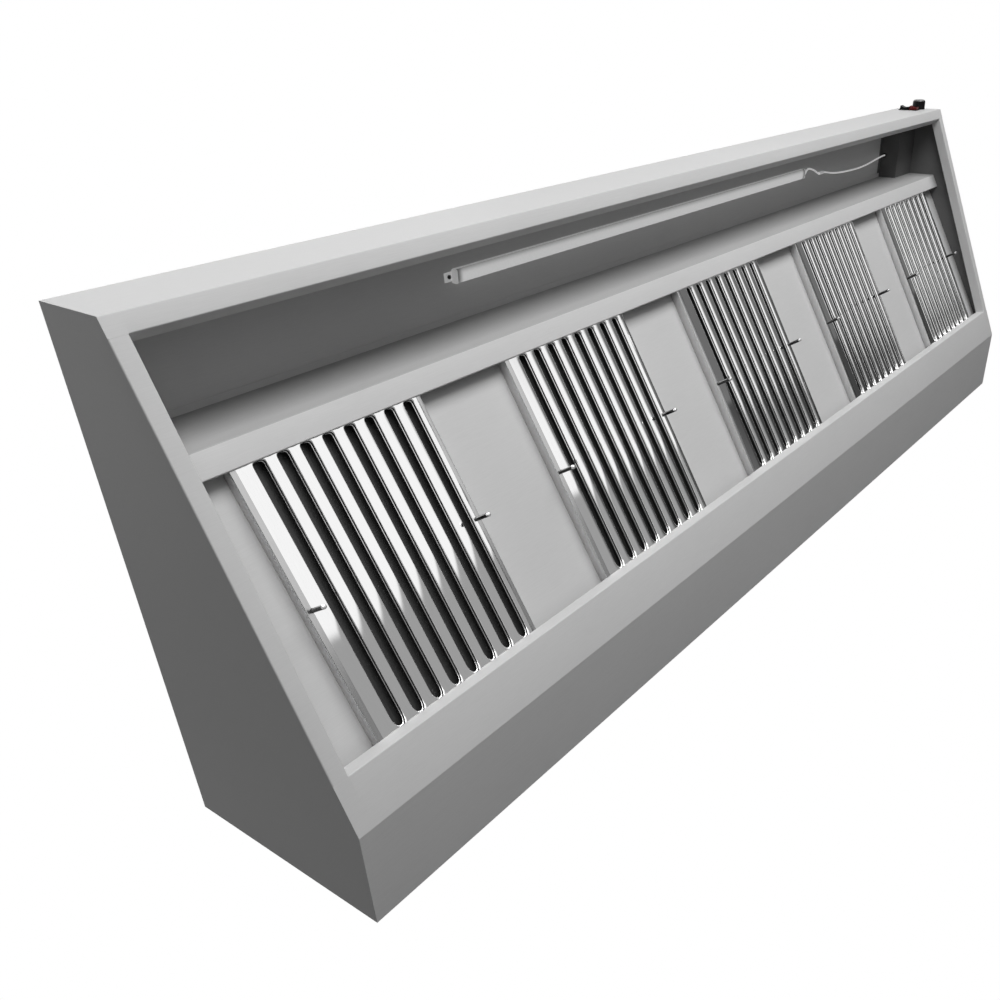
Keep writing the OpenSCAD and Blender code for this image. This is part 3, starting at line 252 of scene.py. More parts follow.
# Painted light: the white mouldings glow a little, so that the lamp's body and caps, the lead's
# connector and the knob's pointer stay bright in shade
lamp_white = finish_of("lamp housing white with painted light", grey(0.72), grey(0.8), (0.4, 0.5), size=300.0,
                       glow=0.24)
frosted = finish_of("frosted lamp cover", grey(0.3), grey(0.36), (0.45, 0.55), size=200.0,
                    glow=0.42)
board_finish = finish_of("lamp board", (0.6, 0.58, 0.42), (0.72, 0.7, 0.55), (0.5, 0.6), size=300.0)
# Painted light: the lead glows so that it stays bright in the shade under the top sheet
lead_painted_light = finish_of("pale lead jacket with painted light", grey(0.7), grey(0.78), (0.45, 0.55), size=900.0,
                        glow=0.4)
rubber = finish_of("black rubber", grey(0.015), grey(0.03), (0.6, 0.75), size=700.0, bump=0.05)
ivory = finish_of("ivory moulding", (0.62, 0.58, 0.48), (0.7, 0.67, 0.57), (0.45, 0.55), size=500.0)
dark_moulding = finish_of("dark grey moulding", grey(0.09), grey(0.13), (0.45, 0.55), size=600.0)
black = finish_of("black moulding", grey(0.004), grey(0.009), (0.3, 0.4), size=700.0, specular=0.08)
red = finish_of("red moulding", (0.09, 0.008, 0.008), (0.13, 0.014, 0.014), (0.25, 0.35),
                size=700.0, specular=0.15)
disc_grey = finish_of("knob disc grey", grey(0.14), grey(0.2), (0.3, 0.4), metal=0.3, size=700.0)
pressed = finish_of("pressed aluminium", grey(0.5), grey(0.62), (0.35, 0.5), metal=0.9, size=150.0)
motor_paint = finish_of("motor paint", grey(0.05), grey(0.08), (0.5, 0.6), size=300.0)

FINISHES = {
    "satin_sheet": satin, "galvanised_steel": zinc, "bright_steel": mirror, "dark_steel": trough_painted_shade,
    "lamp_white": lamp_white, "lamp_board": board_finish, "frosted_cover": frosted,
    "screw_steel": plated, "black_rubber": rubber, "ivory_plastic": ivory,
    "grey_plastic": dark_moulding, "black_plastic": black, "red_plastic": red,
    "knob_disc_grey": disc_grey, "cast_aluminium": pressed, "motor_paint": motor_paint,
}
# Painted shade: the duct, and the lamp's screws for the dark slotted holes round them
PAINTED_SHADE = {"cable_duct": duct_painted_shade, "lamp_screws": barrel}

# Where the lamp's cover glows, in metres
GLOW_PLACES = {"Middle X": LAMP_MIDDLE * MM, "Half Length": 0.745, "End Fade": 0.02,
               "Front Y": -0.802, "Back Y": -0.783}


def make_glow_group():
    """The lamp's glow through its cover: full over the board, less at both ends and in front."""
    tree, start, end = make_group(
        "cover glow", {"Place": "Vector", **{name: "Float" for name in GLOW_PLACES}},
        {"Glow": "Color"})
    axis = node(tree, "ShaderNodeSeparateXYZ")
    off = node(tree, "ShaderNodeMath", operation="SUBTRACT")
    far = node(tree, "ShaderNodeMath", operation="ABSOLUTE")
    dark_end = node(tree, "ShaderNodeMath", operation="SUBTRACT")
    along, across = ranged(tree, smooth=True), ranged(tree, smooth=True)
    both = node(tree, "ShaderNodeMath", operation="MULTIPLY")
    tint = node(tree, "ShaderNodeCombineColor")
    wire(tree,
         (start, "Place", axis, 0), (axis, "X", off, 0), (start, "Middle X", off, 1),
         (off, 0, far, 0), (start, "Half Length", dark_end, 0), (start, "End Fade", dark_end, 1),
         (far, 0, along, "Value"), (start, "Half Length", along, "From Min"),
         (dark_end, 0, along, "From Max"), (axis, "Y", across, "Value"),
         (start, "Front Y", across, "From Min"), (start, "Back Y", across, "From Max"),
         (along, "Result", both, 0), (across, "Result", both, 1),
         *((both, 0, tint, name) for name in ("Red", "Green", "Blue")), (tint, 0, end, "Glow"))
    return tree


def light_up(finish):
    """Feeds a finish's emission from the glow group."""
    tree = finish.node_tree
    shader = next(n for n in tree.nodes if n.bl_idname == "ShaderNodeBsdfPrincipled")
    place = next(n for n in tree.nodes if n.bl_idname == "ShaderNodeTexCoord")
    glow = node(tree, "ShaderNodeGroup", node_tree=make_glow_group(), **GLOW_PLACES)
    wire(tree, (place, "Object", glow, "Place"), (glow, "Glow", shader, "Emission Color"))


def finish_solids():
    """Gives every solid the finish of its slot in the record, but for two painted dark for shade.
    """
    slots = {part["node"]: part["material_slot"] for part in frame["record"]["subparts"]}
    for name, solid in frame["nodes"].items():
        solid.data.materials.clear()
        solid.data.materials.append(PAINTED_SHADE.get(name, FINISHES[slots[name]]))


light_up(frosted)
finish_solids()

# ---------------------------------------------------------------- shapes

AXIS = 0.01  # the radius at which a turned profile ends, merged to one place
SHARP_TURN = 30.0  # degrees between two faces from which their edge is sharp


def make_piece(name, points, faces, body, finishes, replaced=(), kinds=None,
               turn=SHARP_TURN, merge=0.0):
    """Puts points in metres and faces into a mesh, smooth but for its sharp corners."""
    mesh = bpy.data.meshes.new(name)
    mesh.from_pydata(np.asarray(points, float).tolist(), [], faces)
    for finish in finishes:
        mesh.materials.append(finish)
    if kinds is not None:
        mesh.polygons.foreach_set("material_index", np.asarray(kinds, np.int32))
    if merge:
        work = bmesh.new()
        work.from_mesh(mesh)
        bmesh.ops.remove_doubles(work, verts=work.verts, dist=merge)
        work.to_mesh(mesh)
        work.free()
    mesh.polygons.foreach_set("use_smooth", np.ones(len(mesh.polygons), bool))
    mesh.set_sharp_from_angle(angle=math.radians(turn))
    mesh.update()
    piece = bpy.data.objects.new(name, mesh)
    bpy.context.scene.collection.objects.link(piece)
    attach(piece, body)
    if replaced:
        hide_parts(*replaced)
    return piece


def turn_faces(mesh, way=None):
    """Makes neighbouring faces agree and look outwards, or most of an open piece along the way."""
    work = bmesh.new()
    work.from_mesh(mesh)
    bmesh.ops.recalc_face_normals(work, faces=work.faces)
    if way:
        total = sum((f.normal * f.calc_area() for f in work.faces), Vector())
        if total.dot(Vector(way)) < 0:
            bmesh.ops.reverse_faces(work, faces=work.faces)
    work.to_mesh(mesh)
    work.free()


def grid_faces(rows, columns, closed_rows=False, closed_columns=False):
    """Quads of a grid of points stored row by row."""
    r = np.arange(rows if closed_rows else rows - 1)
    c = np.arange(columns if closed_columns else columns - 1)
    r, c = np.meshgrid(r, c, indexing="ij")
    a = r * columns + c
    b = r * columns + (c + 1) % columns
    d = ((r + 1) % rows) * columns + c
    e = ((r + 1) % rows) * columns + (c + 1) % columns
    return np.stack([a, b, e, d], -1).reshape(-1, 4).tolist()


def capped_faces(rings, sides):
    """Quads between closed rings, and a face over each end."""
    last = (rings - 1) * sides
    return grid_faces(rings, sides, closed_columns=True) + [
        list(range(sides))[::-1], list(range(last, last + sides))]


def left_of(way):
    """A way turned a quarter to the left."""
    return np.array([-way[1], way[0]])


def unit(way):
    """A way of length 1."""
    return np.asarray(way, float) / np.linalg.norm(way)


def sheet_sides(line, radius=BEND, steps=6):
    """Both faces of a folded sheet.

    Its middle line has an arc at each fold, and each face lies half a thickness from it. The line
    that is given is the sheet's right face, with square corners.
    """
    line = [np.asarray(p, float) for p in line]
    ways = [unit(b - a) for a, b in zip(line, line[1:])]
    last = len(line) - 1
    middle, normals = [], []
    for i, p in enumerate(line):
        if i in (0, last):
            way = ways[0] if i == 0 else ways[-1]
            middle.append(p + left_of(way) * SHEET / 2)
            normals.append(left_of(way))
            continue
        before, after = ways[i - 1], ways[i]
        a, b = left_of(before), left_of(after)
        corner = p + SHEET / 2 * (a + b) / (1 + a @ b)
        bend = math.atan2(before[0] * after[1] - before[1] * after[0], before @ after)
        back = radius * math.tan(abs(bend) / 2)
        signed = math.copysign(radius, bend)
        centre = corner - before * back + a * signed
        for share in np.linspace(0, bend, steps + 1):
            c, s = math.cos(share), math.sin(share)
            normal = np.array([a[0] * c - a[1] * s, a[0] * s + a[1] * c])
            middle.append(centre - normal * signed)
            normals.append(normal)
    middle, normals = np.array(middle), np.array(normals)
    return middle - normals * SHEET / 2, middle + normals * SHEET / 2


def strip_solid(near, far, place):
    """A closed strip: a section's two faces, set at both ends by place(points, end)."""
    count = len(near)
    points = np.concatenate([place(near, 0), place(far, 0), place(near, 1), place(far, 1)])
    a, b, c, d = 0, count, 2 * count, 3 * count
    i = np.arange(count - 1)
    j = i + 1
    faces = np.concatenate([
        np.stack([a + i, a + j, c + j, c + i], -1),
        np.stack([b + j, b + i, d + i, d + j], -1),
        np.stack([a + j, a + i, b + i, b + j], -1),
        np.stack([c + i, c + j, d + j, d + i], -1)]).tolist()
    faces.append([a, c, d, b])
    faces.append([a + count - 1, b + count - 1, d + count - 1, c + count - 1])
    return points, faces


def along_x(x0, x1):
    """Sets a section of depth and height at x0 and at x1."""
    def place(section, end):
        """The section at one of the two ends."""
        x = np.full(len(section), x1 if end else x0)
        return at(np.column_stack([x, section]))
    return place


def gather(*parts):
    """Joins lists of points and faces into one."""
    points, faces, first = [], [], 0
    for some, polygons in parts:
        points.append(np.asarray(some))
        faces += [[k + first for k in polygon] for polygon in polygons]
        first += len(some)
    return np.concatenate(points), faces


RUN = np.array([DEPTH - HEEL, HEIGHT - FASCIA])
SLOPE_LENGTH = float(np.linalg.norm(RUN))
SLOPE_COS, SLOPE_SIN = RUN / SLOPE_LENGTH


def on_slope(s, d):
    """A point of the sloping opening: s down the slope, d into the hood."""
    return np.array([-DEPTH + s * SLOPE_COS + d * SLOPE_SIN,
                     -FASCIA - s * SLOPE_SIN + d * SLOPE_COS])


SLOPE = math.atan2(RUN[1], RUN[0]) + FILTER_TIP
TIP_COS, TIP_SIN = math.cos(SLOPE), math.sin(SLOPE)
FILTER_LOW = on_slope(SLOPE_LENGTH - GUTTER + FILTER_TOE, TOE_RISE)
FILTER_L = (PLENUM - HEAD_GAP + FILTER_LOW[0]) / TIP_COS
MID_DEPTH = FILTER_L / 2 * TIP_COS - FILTER_LOW[0]
MID_DROP = -FILTER_LOW[1] - FILTER_L / 2 * TIP_SIN


def on_filter(a, d):
    """A point of the filters' section: a down the slope from the middle, d behind the faces."""
    return np.array([-MID_DEPTH + a * TIP_COS + d * TIP_SIN, -MID_DROP - a * TIP_SIN + d * TIP_COS])


def in_filter(n, points):
    """From a filter's own frame, across, down the slope and inwards, to the frame in metres."""
    p = np.asarray(points, float).reshape(-1, 3)
    middle = (n - (FILTERS + 1) / 2) * PITCH
    return at(np.column_stack([p[:, 0] + middle, on_filter(p[:, 1], p[:, 2]).T]))


def lathe(profile, turns, closed=False):
    """Turns a profile of radius and height round Z. An open profile ends on the axis."""
    profile = np.asarray(profile, float)
    angle = np.arange(turns) * 2 * math.pi / turns
    r, h = profile[:, 0][:, None], profile[:, 1][:, None]
    points = np.stack([r * np.cos(angle), r * np.sin(angle), h + 0 * angle], -1).reshape(-1, 3)
    return points, grid_faces(len(profile), turns, closed_rows=closed, closed_columns=True)


def rounded_box(left, low, right, high, radius, steps=5):
    """A rectangle's outline with a quarter circle of the radius in each corner."""
    turn = np.linspace(0, math.pi / 2, steps + 1)
    near, far, down, up = left + radius, right - radius, low + radius, high - radius
    arcs = []
    for quarter, (x, y) in enumerate(((near, down), (far, down), (far, up), (near, up))):
        angle = turn + math.pi * (1 + quarter / 2)
        arcs.append(np.column_stack([x + radius * np.cos(angle), y + radius * np.sin(angle)]))
    return np.concatenate(arcs)


def prism(loop, low, high, edge, steps=4):
    """A closed outline from low to high, its end edges rounded by drawing the outline in."""
    loop = np.asarray(loop, float)
    middle = loop.mean(0)
    reach = np.abs(loop - middle).max(0)
    share = np.linspace(0, math.pi / 2, steps + 1)
    deep, inset = edge * (1 - np.cos(share)), edge * (1 - np.sin(share))
    levels = np.concatenate([low + deep, (high - deep)[::-1]])
    rings = []
    for level, drawn in zip(levels, np.concatenate([inset, inset[::-1]])):
        ring = middle + (loop - middle) * (1 - drawn / reach)
        rings.append(np.column_stack([ring, np.full(len(loop), level)]))
    return np.concatenate(rings), capped_faces(len(rings), len(loop))


def tube(path, radius, sides=16):
    """A round tube along a path, its rings square to it and started level, its ends closed."""
    path = np.asarray(path, float)
    ways = np.gradient(path, axis=0)
    ways /= np.linalg.norm(ways, axis=1)[:, None]
    a = np.cross(np.array([0.0, 0.0, 1.0]), ways)
    a /= np.linalg.norm(a, axis=1)[:, None]
    b = np.cross(ways, a)
    angle = (np.arange(sides) * 2 * math.pi / sides)[None, :, None]
    ring = a[:, None, :] * np.cos(angle) + b[:, None, :] * np.sin(angle)
    return (path[:, None, :] + radius * ring).reshape(-1, 3), capped_faces(len(path), sides)


def smooth_line(points, steps):
    """A curve through the points: cubics whose slopes are half the chord round each point."""
    p = np.asarray(points, float)
    p = np.vstack([2 * p[0] - p[1], p, 2 * p[-1] - p[-2]])
    t = np.linspace(0, 1, steps, endpoint=False)[:, None]
    parts = []
    for a, b, c, d in zip(p, p[1:], p[2:], p[3:]):
        parts.append(b + 0.5 * t * (c - a) + t ** 2 * (a - 2.5 * b + 2 * c - 0.5 * d)
                     + t ** 3 * (-0.5 * a + 1.5 * b - 1.5 * c + 0.5 * d))
    return np.vstack(parts + [p[-2][None]])


# ---------------------------------------------------------------- lamp lead

DUCT_LEFT, GLAND_W, GLAND_DROP, GLAND_FROM_WALL = 1360.0, 6.0, 16.0, 765.0
LEAD_D, LEAD_SAG, LEAD_SWAY, LEAD_STEPS = 5.0, 26.0, 14.0, 5
LEVEL_SHARE = 0.95  # the share of the span after which the lead runs straight into its gland
# Shares of the span, of the sway towards the wall and of the sag
LEAD_ROUTE_SHARES = np.array([
    [0, 0, 0], [0.01, 0.25, 0], [0.019, 0.05, 0.02], [0.028, -0.45, 0.05], [0.041, -0.75, 0.1],
    [0.06, -0.68, 0.2], [0.084, -0.35, 0.33], [0.104, 0.1, 0.45], [0.122, 0.4, 0.5],
    [0.178, 0.4, 0.5], [0.21, 0.55, 0.6], [0.26, 0.85, 0.78], [0.33, 1, 0.93], [0.41, 1.04, 1],
    [0.49, 1.03, 1], [0.58, 0.95, 0.9], [0.67, 0.78, 0.72], [0.75, 0.56, 0.52], [0.83, 0.32, 0.3],
    [0.9, 0.12, 0.12], [0.95, 0, 0], [1, 0, 0]])
CONNECTOR_FIRST = 8  # the straight stretch that the connector covers
CONNECTOR_START, CONNECTOR_SHARE = 0.06, 0.88  # where on that stretch, and how much of it
CONNECTOR_SIDES = 32
# The connector's profile: radius, share of its length, and millimetres beyond that share
CONNECTOR_PROFILE = (
    (2.7, 0, 0), (4.1, 0, 0), (4.5, 0, 1.2), (4.5, 0.42, 0), (4.0, 0.44, 0), (4.0, 0.5, 0),
    (4.4, 0.52, 0), (4.4, 0.8, 0), (3.6, 1, -1), (3.4, 1, 0), (2.7, 1, 0))


def lead_points():
    """The lead's route: shares of its span, its sway towards the wall and its sag."""
    along, sway, sag = LEAD_ROUTE_SHARES.T
    start = LAMP_MIDDLE + LAMP_LONG / 2 + LAMP_CAP
    stop = DUCT_LEFT + 2 * GLAND_W
    drop = SHEET + LAMP_BODY / 2 + LEAD_D / 2
    level = np.minimum(1, along / LEVEL_SHARE)
    return np.column_stack([
        start + along * (stop - start),
        -LAMP_FROM_WALL + level * (LAMP_FROM_WALL - GLAND_FROM_WALL) + sway * LEAD_SWAY,
        -drop - level * (GLAND_DROP - drop) - sag * LEAD_SAG])


def make_lead():
    """The lead's jacket, and the ribbed in-line connector round its straight stretch."""
    route = lead_points()
    path = at(smooth_line(route, LEAD_STEPS))
    points, faces = tube(path, LEAD_D / 2 * MM)
    lead = make_piece("lamp_lead_jacket", points, faces, "canopy", [lead_painted_light],
                      ("lamp_lead",))
    a, b = route[CONNECTOR_FIRST], route[CONNECTOR_FIRST + 1]
    span = b[0] - a[0]
    long = span * CONNECTOR_SHARE
    profile = [(r, share * long + more) for r, share, more in CONNECTOR_PROFILE]
    ring, faces = lathe(profile, CONNECTOR_SIDES, closed=True)
    turned = np.column_stack([ring[:, 2] + a[0] + span * CONNECTOR_START,
                              ring[:, 0] + (a[1] + b[1]) / 2, ring[:, 1] + (a[2] + b[2]) / 2])
    connector = make_piece("lead_connector_shell", at(turned), faces, "canopy",
                           [lamp_white], ("lead_connector",))


make_lead()

# ---------------------------------------------------------------- folded sheets

TURN_UP = 6.0  # how far the pierced flat of the front stops above its lower fold
RAIL_GAP = 0.4  # between the rail's lower edge and the filters
WEB_STRIP = 40.0  # how much of a side sheet is drawn with its folded flange
# The front's cut-outs: left, right, and how far the top and the bottom are below its upper edge
CUTOUTS = ((1411.5, 1436.5, 25.5, 54.5), (1411.5, 1436.5, 57.5, 86.5),
           (1460.9, 1471.1, 67.9, 78.1))


def pierced_front():
    """The flat of the front face: a grid of panes between its edges and cut-outs, those open."""
    half = WIDTH / 2
    xs = sorted({-half, half, *(x for cut in CUTOUTS for x in cut[:2])})
    drops = sorted({SHEET, FASCIA - TURN_UP, *(d for cut in CUTOUTS for d in cut[2:])})

    def is_open(x, d):
        """Whether a place of the front lies in a cut-out."""
        return any(a < x < b and c < d < e for a, b, c, e in CUTOUTS)

    points = at([(x, -DEPTH + deep, -d) for deep in (0.0, SHEET) for d in drops for x in xs])
    columns, layer = len(xs), len(xs) * len(drops)
    panes = {(i, j) for i in range(columns - 1) for j in range(len(drops) - 1)
             if not is_open((xs[i] + xs[i + 1]) / 2, (drops[j] + drops[j + 1]) / 2)}
    faces = []
    for i, j in sorted(panes):
        a = j * columns + i
        b, c, d = a + 1, a + 1 + columns, a + columns
        faces += [[d, c, b, a], [a + layer, b + layer, c + layer, d + layer]]
        for beside, p, q in (((i, j - 1), a, b), ((i + 1, j), b, c),
                             ((i, j + 1), c, d), ((i - 1, j), d, a)):
            if beside not in panes:
                faces.append([p, q, q + layer, p + layer])
    return points, faces


def rim_strips(lipped, plain):
    """A section with its lip between the side sheets' flanges, and without it over them."""
    half, rim = WIDTH / 2, WIDTH / 2 - RIM
    spans = ((lipped, -rim, rim), (plain, -half, -rim), (plain, rim, half))
    return [strip_solid(*sheet_sides(line), along_x(*ends)) for line, *ends in spans]


def make_folded_sheets():
    """Each sheet is its section, folded with real bend radii, carried along the hood."""
    plain = [(-DEPTH, -FASCIA + TURN_UP), (-DEPTH, -FASCIA), on_slope(RIM, 0)]
    lip = on_slope(RIM + FRONT_LEAN, FRONT_LIP)
    points, faces = gather(*rim_strips([*plain, lip], plain), pierced_front())
    make_piece("front_face_sheet", points, faces, "canopy", [satin],
               ("front_fascia",))

    plain = [on_slope(SLOPE_LENGTH - GUTTER, 0), (-HEEL, -HEIGHT), (-SHEET, -HEIGHT)]
    lip = on_slope(SLOPE_LENGTH - GUTTER - GUTTER_LEAN, GUTTER_LIP)
    points, faces = gather(*rim_strips([lip, *plain], plain))
    make_piece("gutter_sheet", points, faces, "canopy", [satin], ("gutter_pan",))

    fold = (MID_DEPTH - PLENUM + RAIL_STAND * TIP_SIN) / TIP_COS
    line = [(-PLENUM - PLENUM_FLANGE, -2 * SHEET), (-PLENUM, -2 * SHEET),
            on_filter(fold, -RAIL_STAND), on_filter(fold + RAIL, -RAIL_STAND),
            on_filter(fold + RAIL, -RAIL_GAP)]
    inner = WIDTH / 2 - SHEET
    points, faces = strip_solid(*sheet_sides(line, RAIL_BEND), along_x(-inner, inner))
    # The upright plate's faces take the darker finish, its painted shade
    off = np.abs(points[:, 1] + PLENUM * MM)
    upright = [int(off[face].max() < 2 * SHEET * MM) for face in faces]
    make_piece("plenum_and_rail_sheet", points, faces, "canopy",
               [satin, plate_painted_shade], ("plenum_front_plate",), kinds=upright)


def side_sheet(sign):
    """A side sheet: its flat web, and the flange and lip folded along the slope."""
    half = WIDTH / 2
    first, last = RIM + SEAM, SLOPE_LENGTH - GUTTER - SEAM

    def across(section, end):
        """A section of X and depth into the hood, at one end of the slope."""
        rows = [on_slope(last if end else first, d) for d in section[:, 1]]
        return at(np.column_stack([section[:, 0] * sign, rows]))

    line = [(-half, WEB_STRIP), (-half, 0), (RIM - half, 0), (RIM - half, SIDE_LIP)]
    fold = strip_solid(*sheet_sides(line), across)
    slant = math.atan2(RUN[1], RUN[0])
    web = np.array([
        (-DEPTH + SHEET, -SHEET), (-SHEET, -SHEET), (-SHEET, -HEIGHT + SHEET),
        (-HEEL + SHEET * math.tan(slant / 2), -HEIGHT + SHEET),
        on_slope(last, SHEET), on_slope(last, WEB_STRIP), on_slope(first, WEB_STRIP),
        on_slope(first, SHEET),
        (-DEPTH + SHEET, -FASCIA + SHEET * math.tan((math.pi / 2 - slant) / 2))])
    sides = [at(np.column_stack([np.full(len(web), x * sign), web])) for x in (-half, SHEET - half)]
    return gather(fold, (np.concatenate(sides), capped_faces(2, len(web))))


def make_side_sheets():
    """Both side sheets, painted shade where they face into the hood, deeper on the right."""
    for sign, name, solid, inside_shade in ((1, "left_side_sheet", "left_side_panel", side_inside_painted_shade),
                                      (-1, "right_side_sheet", "right_side_panel", right_inside_painted_shade)):
        points, faces = side_sheet(sign)
        off = np.abs(np.abs(points[:, 0]) - (WIDTH / 2 - SHEET) * MM)
        inside = [int(off[face].max() < SEAM * MM) for face in faces]
        make_piece(name, points, faces, "canopy", [satin, inside_shade], (solid,),
                   kinds=inside)


make_folded_sheets()
make_side_sheets()

# ---------------------------------------------------------------- filters

EDGE_ROUND = 1.2  # rounding where the filter's face turns into its sides
EDGE_PLAY = 0.01  # how near a face's edge may be to a border and still be beyond it
SLOT_ROUND, SLOT_ROUND_DEEP = 2.2, 5.0  # rounding at a slot's edge, along the face and inwards
SLOT_TURN = 9.0  # how far a slot's edge is turned inwards
BEAD_TOP, BEAD_LOW, BEAD_OUT = 5.8, 8.2, 0.7  # the bead along a slot's turned edge
FRAME_STRIP = 9.0  # width of the satin frame along a filter's sides
TOE_STRETCH, TOE_SKEW = 1.7, 0.3  # how far a slot's lower end is drawn out and to the right
HEAD_POWER = 0.5  # squares a slot's upper end: 1 is a half circle, 0 a right angle
# Points in a quarter of a cell's outline beside its corner and beyond it, along its straights, over
# a slot's turned edge and over the pressing's edge
SIDE_POINTS, END_POINTS, RUN_POINTS, TURN_POINTS, EDGE_POINTS = 5, 4, 13, 7, 5
FILTER_SHEET = 1.0
OUT_OF_FACE = (0.0, -0.5, -0.866)  # roughly out of the filters' faces


def slot_cell():
    """One slot with the flat round it: rings from the cell's outline to the slot's turned edge.

    A ring at half width h is the slot's outline grown to h: two straights, a drawn out half circle
    below, and above a superellipse, whose sine and cosine are raised to the head's power.
    """
    centre = (FILTER_L - SLOT_W) / 2 - SLOT_BORDER
    cell_half, cell_end = SLOT_PITCH / 2, FILTER_L / 2 - EDGE_ROUND - centre
    corner = math.atan2(cell_end, cell_half)
    quarter = np.concatenate([np.linspace(0, corner, SIDE_POINTS),
                              np.linspace(corner, math.pi / 2, END_POINTS)[1:]])
    arc = np.concatenate([quarter, math.pi - quarter[::-1][1:]])
    run = np.linspace(-centre, centre, RUN_POINTS)[1:-1]
    angles = np.concatenate([arc, np.full(len(run), math.pi), arc + math.pi,
                             np.full(len(run), 2 * math.pi)])
    shift = np.concatenate([np.full(len(arc), centre), run[::-1], np.full(len(arc), -centre), run])
    c, s = np.cos(angles), np.sin(angles)
    reach = np.minimum(cell_half / np.maximum(np.abs(c), TINY),
                       cell_end / np.maximum(np.abs(s), TINY))
    rings = [np.column_stack([reach * c, shift + reach * s, 0 * c])]
    q = np.linspace(0, math.pi / 2, TURN_POINTS)
    turn = np.column_stack([SLOT_W / 2 + SLOT_ROUND * (1 - np.sin(q)),
                            SLOT_ROUND_DEEP * (1 - np.cos(q))])
    q = np.linspace(0, math.pi, TURN_POINTS)
    bead = np.column_stack([SLOT_W / 2 - BEAD_OUT * np.sin(q),
                            BEAD_TOP + (BEAD_LOW - BEAD_TOP) * q / math.pi])
    low = np.where((shift > 0) & (s > 0), s, 0.0)
    power = np.where((shift < 0) & (s < 0), HEAD_POWER, 1.0)
    c, s = np.sign(c) * np.abs(c) ** power, np.sign(s) * np.abs(s) ** power
    for h, w in np.vstack([turn, bead, (SLOT_W / 2, SLOT_TURN)]):
        drawn = (TOE_STRETCH - 1) * (h * low - SLOT_W / 2 * (shift > 0))
        rings.append(np.column_stack([h * c + TOE_SKEW * h * low ** 2, shift + h * s + drawn,
                                      np.full(len(c), w)]))
    return np.concatenate(rings), grid_faces(len(rings), len(c), closed_columns=True), rings[0]


def pressed_edge(along, half, sign, is_end):
    """A side or an end of the pressing: its edge rounded from the flat and carried back."""
    turn = np.linspace(0, math.pi / 2, EDGE_POINTS)
    out = np.append(EDGE_ROUND * np.sin(turn), EDGE_ROUND)[:, None]
    deep = np.append(EDGE_ROUND * (1 - np.cos(turn)), FILTER_D)[:, None]
    grow = np.zeros(len(along))
    grow[0], grow[-1] = -1, 1
    level, beyond = along + out * grow, sign * (half + out) + 0 * along
    sides = (level, beyond) if is_end else (beyond, level)
    quads = grid_faces(len(out), len(along))
    if (sign > 0) == is_end:
        quads = [f[::-1] for f in quads]
    return np.stack([*sides, deep + 0 * along], -1).reshape(-1, 3), quads


def filter_pressing(n):
    """A filter's face: eight slot cells side by side, the flat borders and the rounded sides."""
    cell, faces, outline = slot_cell()
    first = SIDE_BORDER - FILTER_W / 2 + SLOT_PITCH - SLOT_W / 2
    parts = [(cell + [first + k * SLOT_PITCH, 0, 0], faces) for k in range(SLOTS)]
    half_w, half_l = FILTER_W / 2 - EDGE_ROUND, FILTER_L / 2 - EDGE_ROUND
    frame_edge = half_w - FRAME_STRIP
    side = outline[np.abs(outline[:, 0] - SLOT_PITCH / 2) < TINY][:, 1]
    rows = np.unique(np.round(side, 6))
    low, high = first - SLOT_PITCH / 2, first + (SLOTS - 0.5) * SLOT_PITCH
    for columns in ((-half_w, -frame_edge, low), (high, frame_edge, half_w)):
        u, v = np.meshgrid(columns, rows)
        parts.append((np.column_stack([u.ravel(), v.ravel(), 0 * u.ravel()]),
                      [f[::-1] for f in grid_faces(len(rows), len(columns))]))
    ends = outline[np.abs(outline[:, 1] - half_l) < TINY][:, 0]
    # The frame strip's line runs on over the rounded ends
    marks = [-half_w, -frame_edge, frame_edge, half_w]
    across = np.unique(np.round(np.concatenate(
        [ends + first + k * SLOT_PITCH for k in range(SLOTS)] + [marks]), 6))
    for sign in (-1, 1):
        parts.append(pressed_edge(rows, half_w, sign, False))
        parts.append(pressed_edge(across, half_l, sign, True))
    points, faces = gather(*parts)
    # Kind 0 is the mirror face, 1 the brushed frame strip and 2 the sides with their painted light
    off = [np.abs(points[face, 0]).min() + EDGE_PLAY for face in faces]
    kinds = [int(far > frame_edge) + int(far > half_w + EDGE_ROUND) for far in off]
    return in_filter(n, points), faces, kinds


PULL_D, PULL_L, PULL_INSET, PULL_ALONG, PULL_SIDES = 8.0, 38.0, 10.0, 2.0, 32
# A pin's profile: how far inside its radius, and over its foot, or under its end
PULL_FOOT = ((0, 0), (0, 0.8), (0.5, 1.4), (0.5, 3.0), (0.2, 4.0))
PULL_END = ((0.2, 7.0), (0.6, 6.4), (0.6, 5.6), (0, 5.0), (0, 2.2), (0.3, 1.1), (1.2, 0.3),
            (2.4, 0))
PULL_BRIGHT = 7  # the ring of the profile from which a pin is bright


def pull_pins(n):
    """Two turned pins: a foot ring, a dark barrel with a waist, and a bright domed end."""
    r, long = PULL_D / 2, PULL_L
    profile = [(AXIS, 0), *((r - inside, over) for inside, over in PULL_FOOT),
               *((r - inside, long - under) for inside, under in PULL_END), (AXIS, long)]
    ring, faces = lathe(profile, PULL_SIDES)
    bright = [int(min(face) // PULL_SIDES >= PULL_BRIGHT) for face in faces]
    parts = []
    for side in (-1, 1):
        x = ring[:, 0] + side * (FILTER_W / 2 - PULL_INSET)
        parts.append((np.column_stack([x, ring[:, 1] + PULL_ALONG, -ring[:, 2]]), faces))
    points, faces = gather(*parts)
    return in_filter(n, points), faces, bright * 2


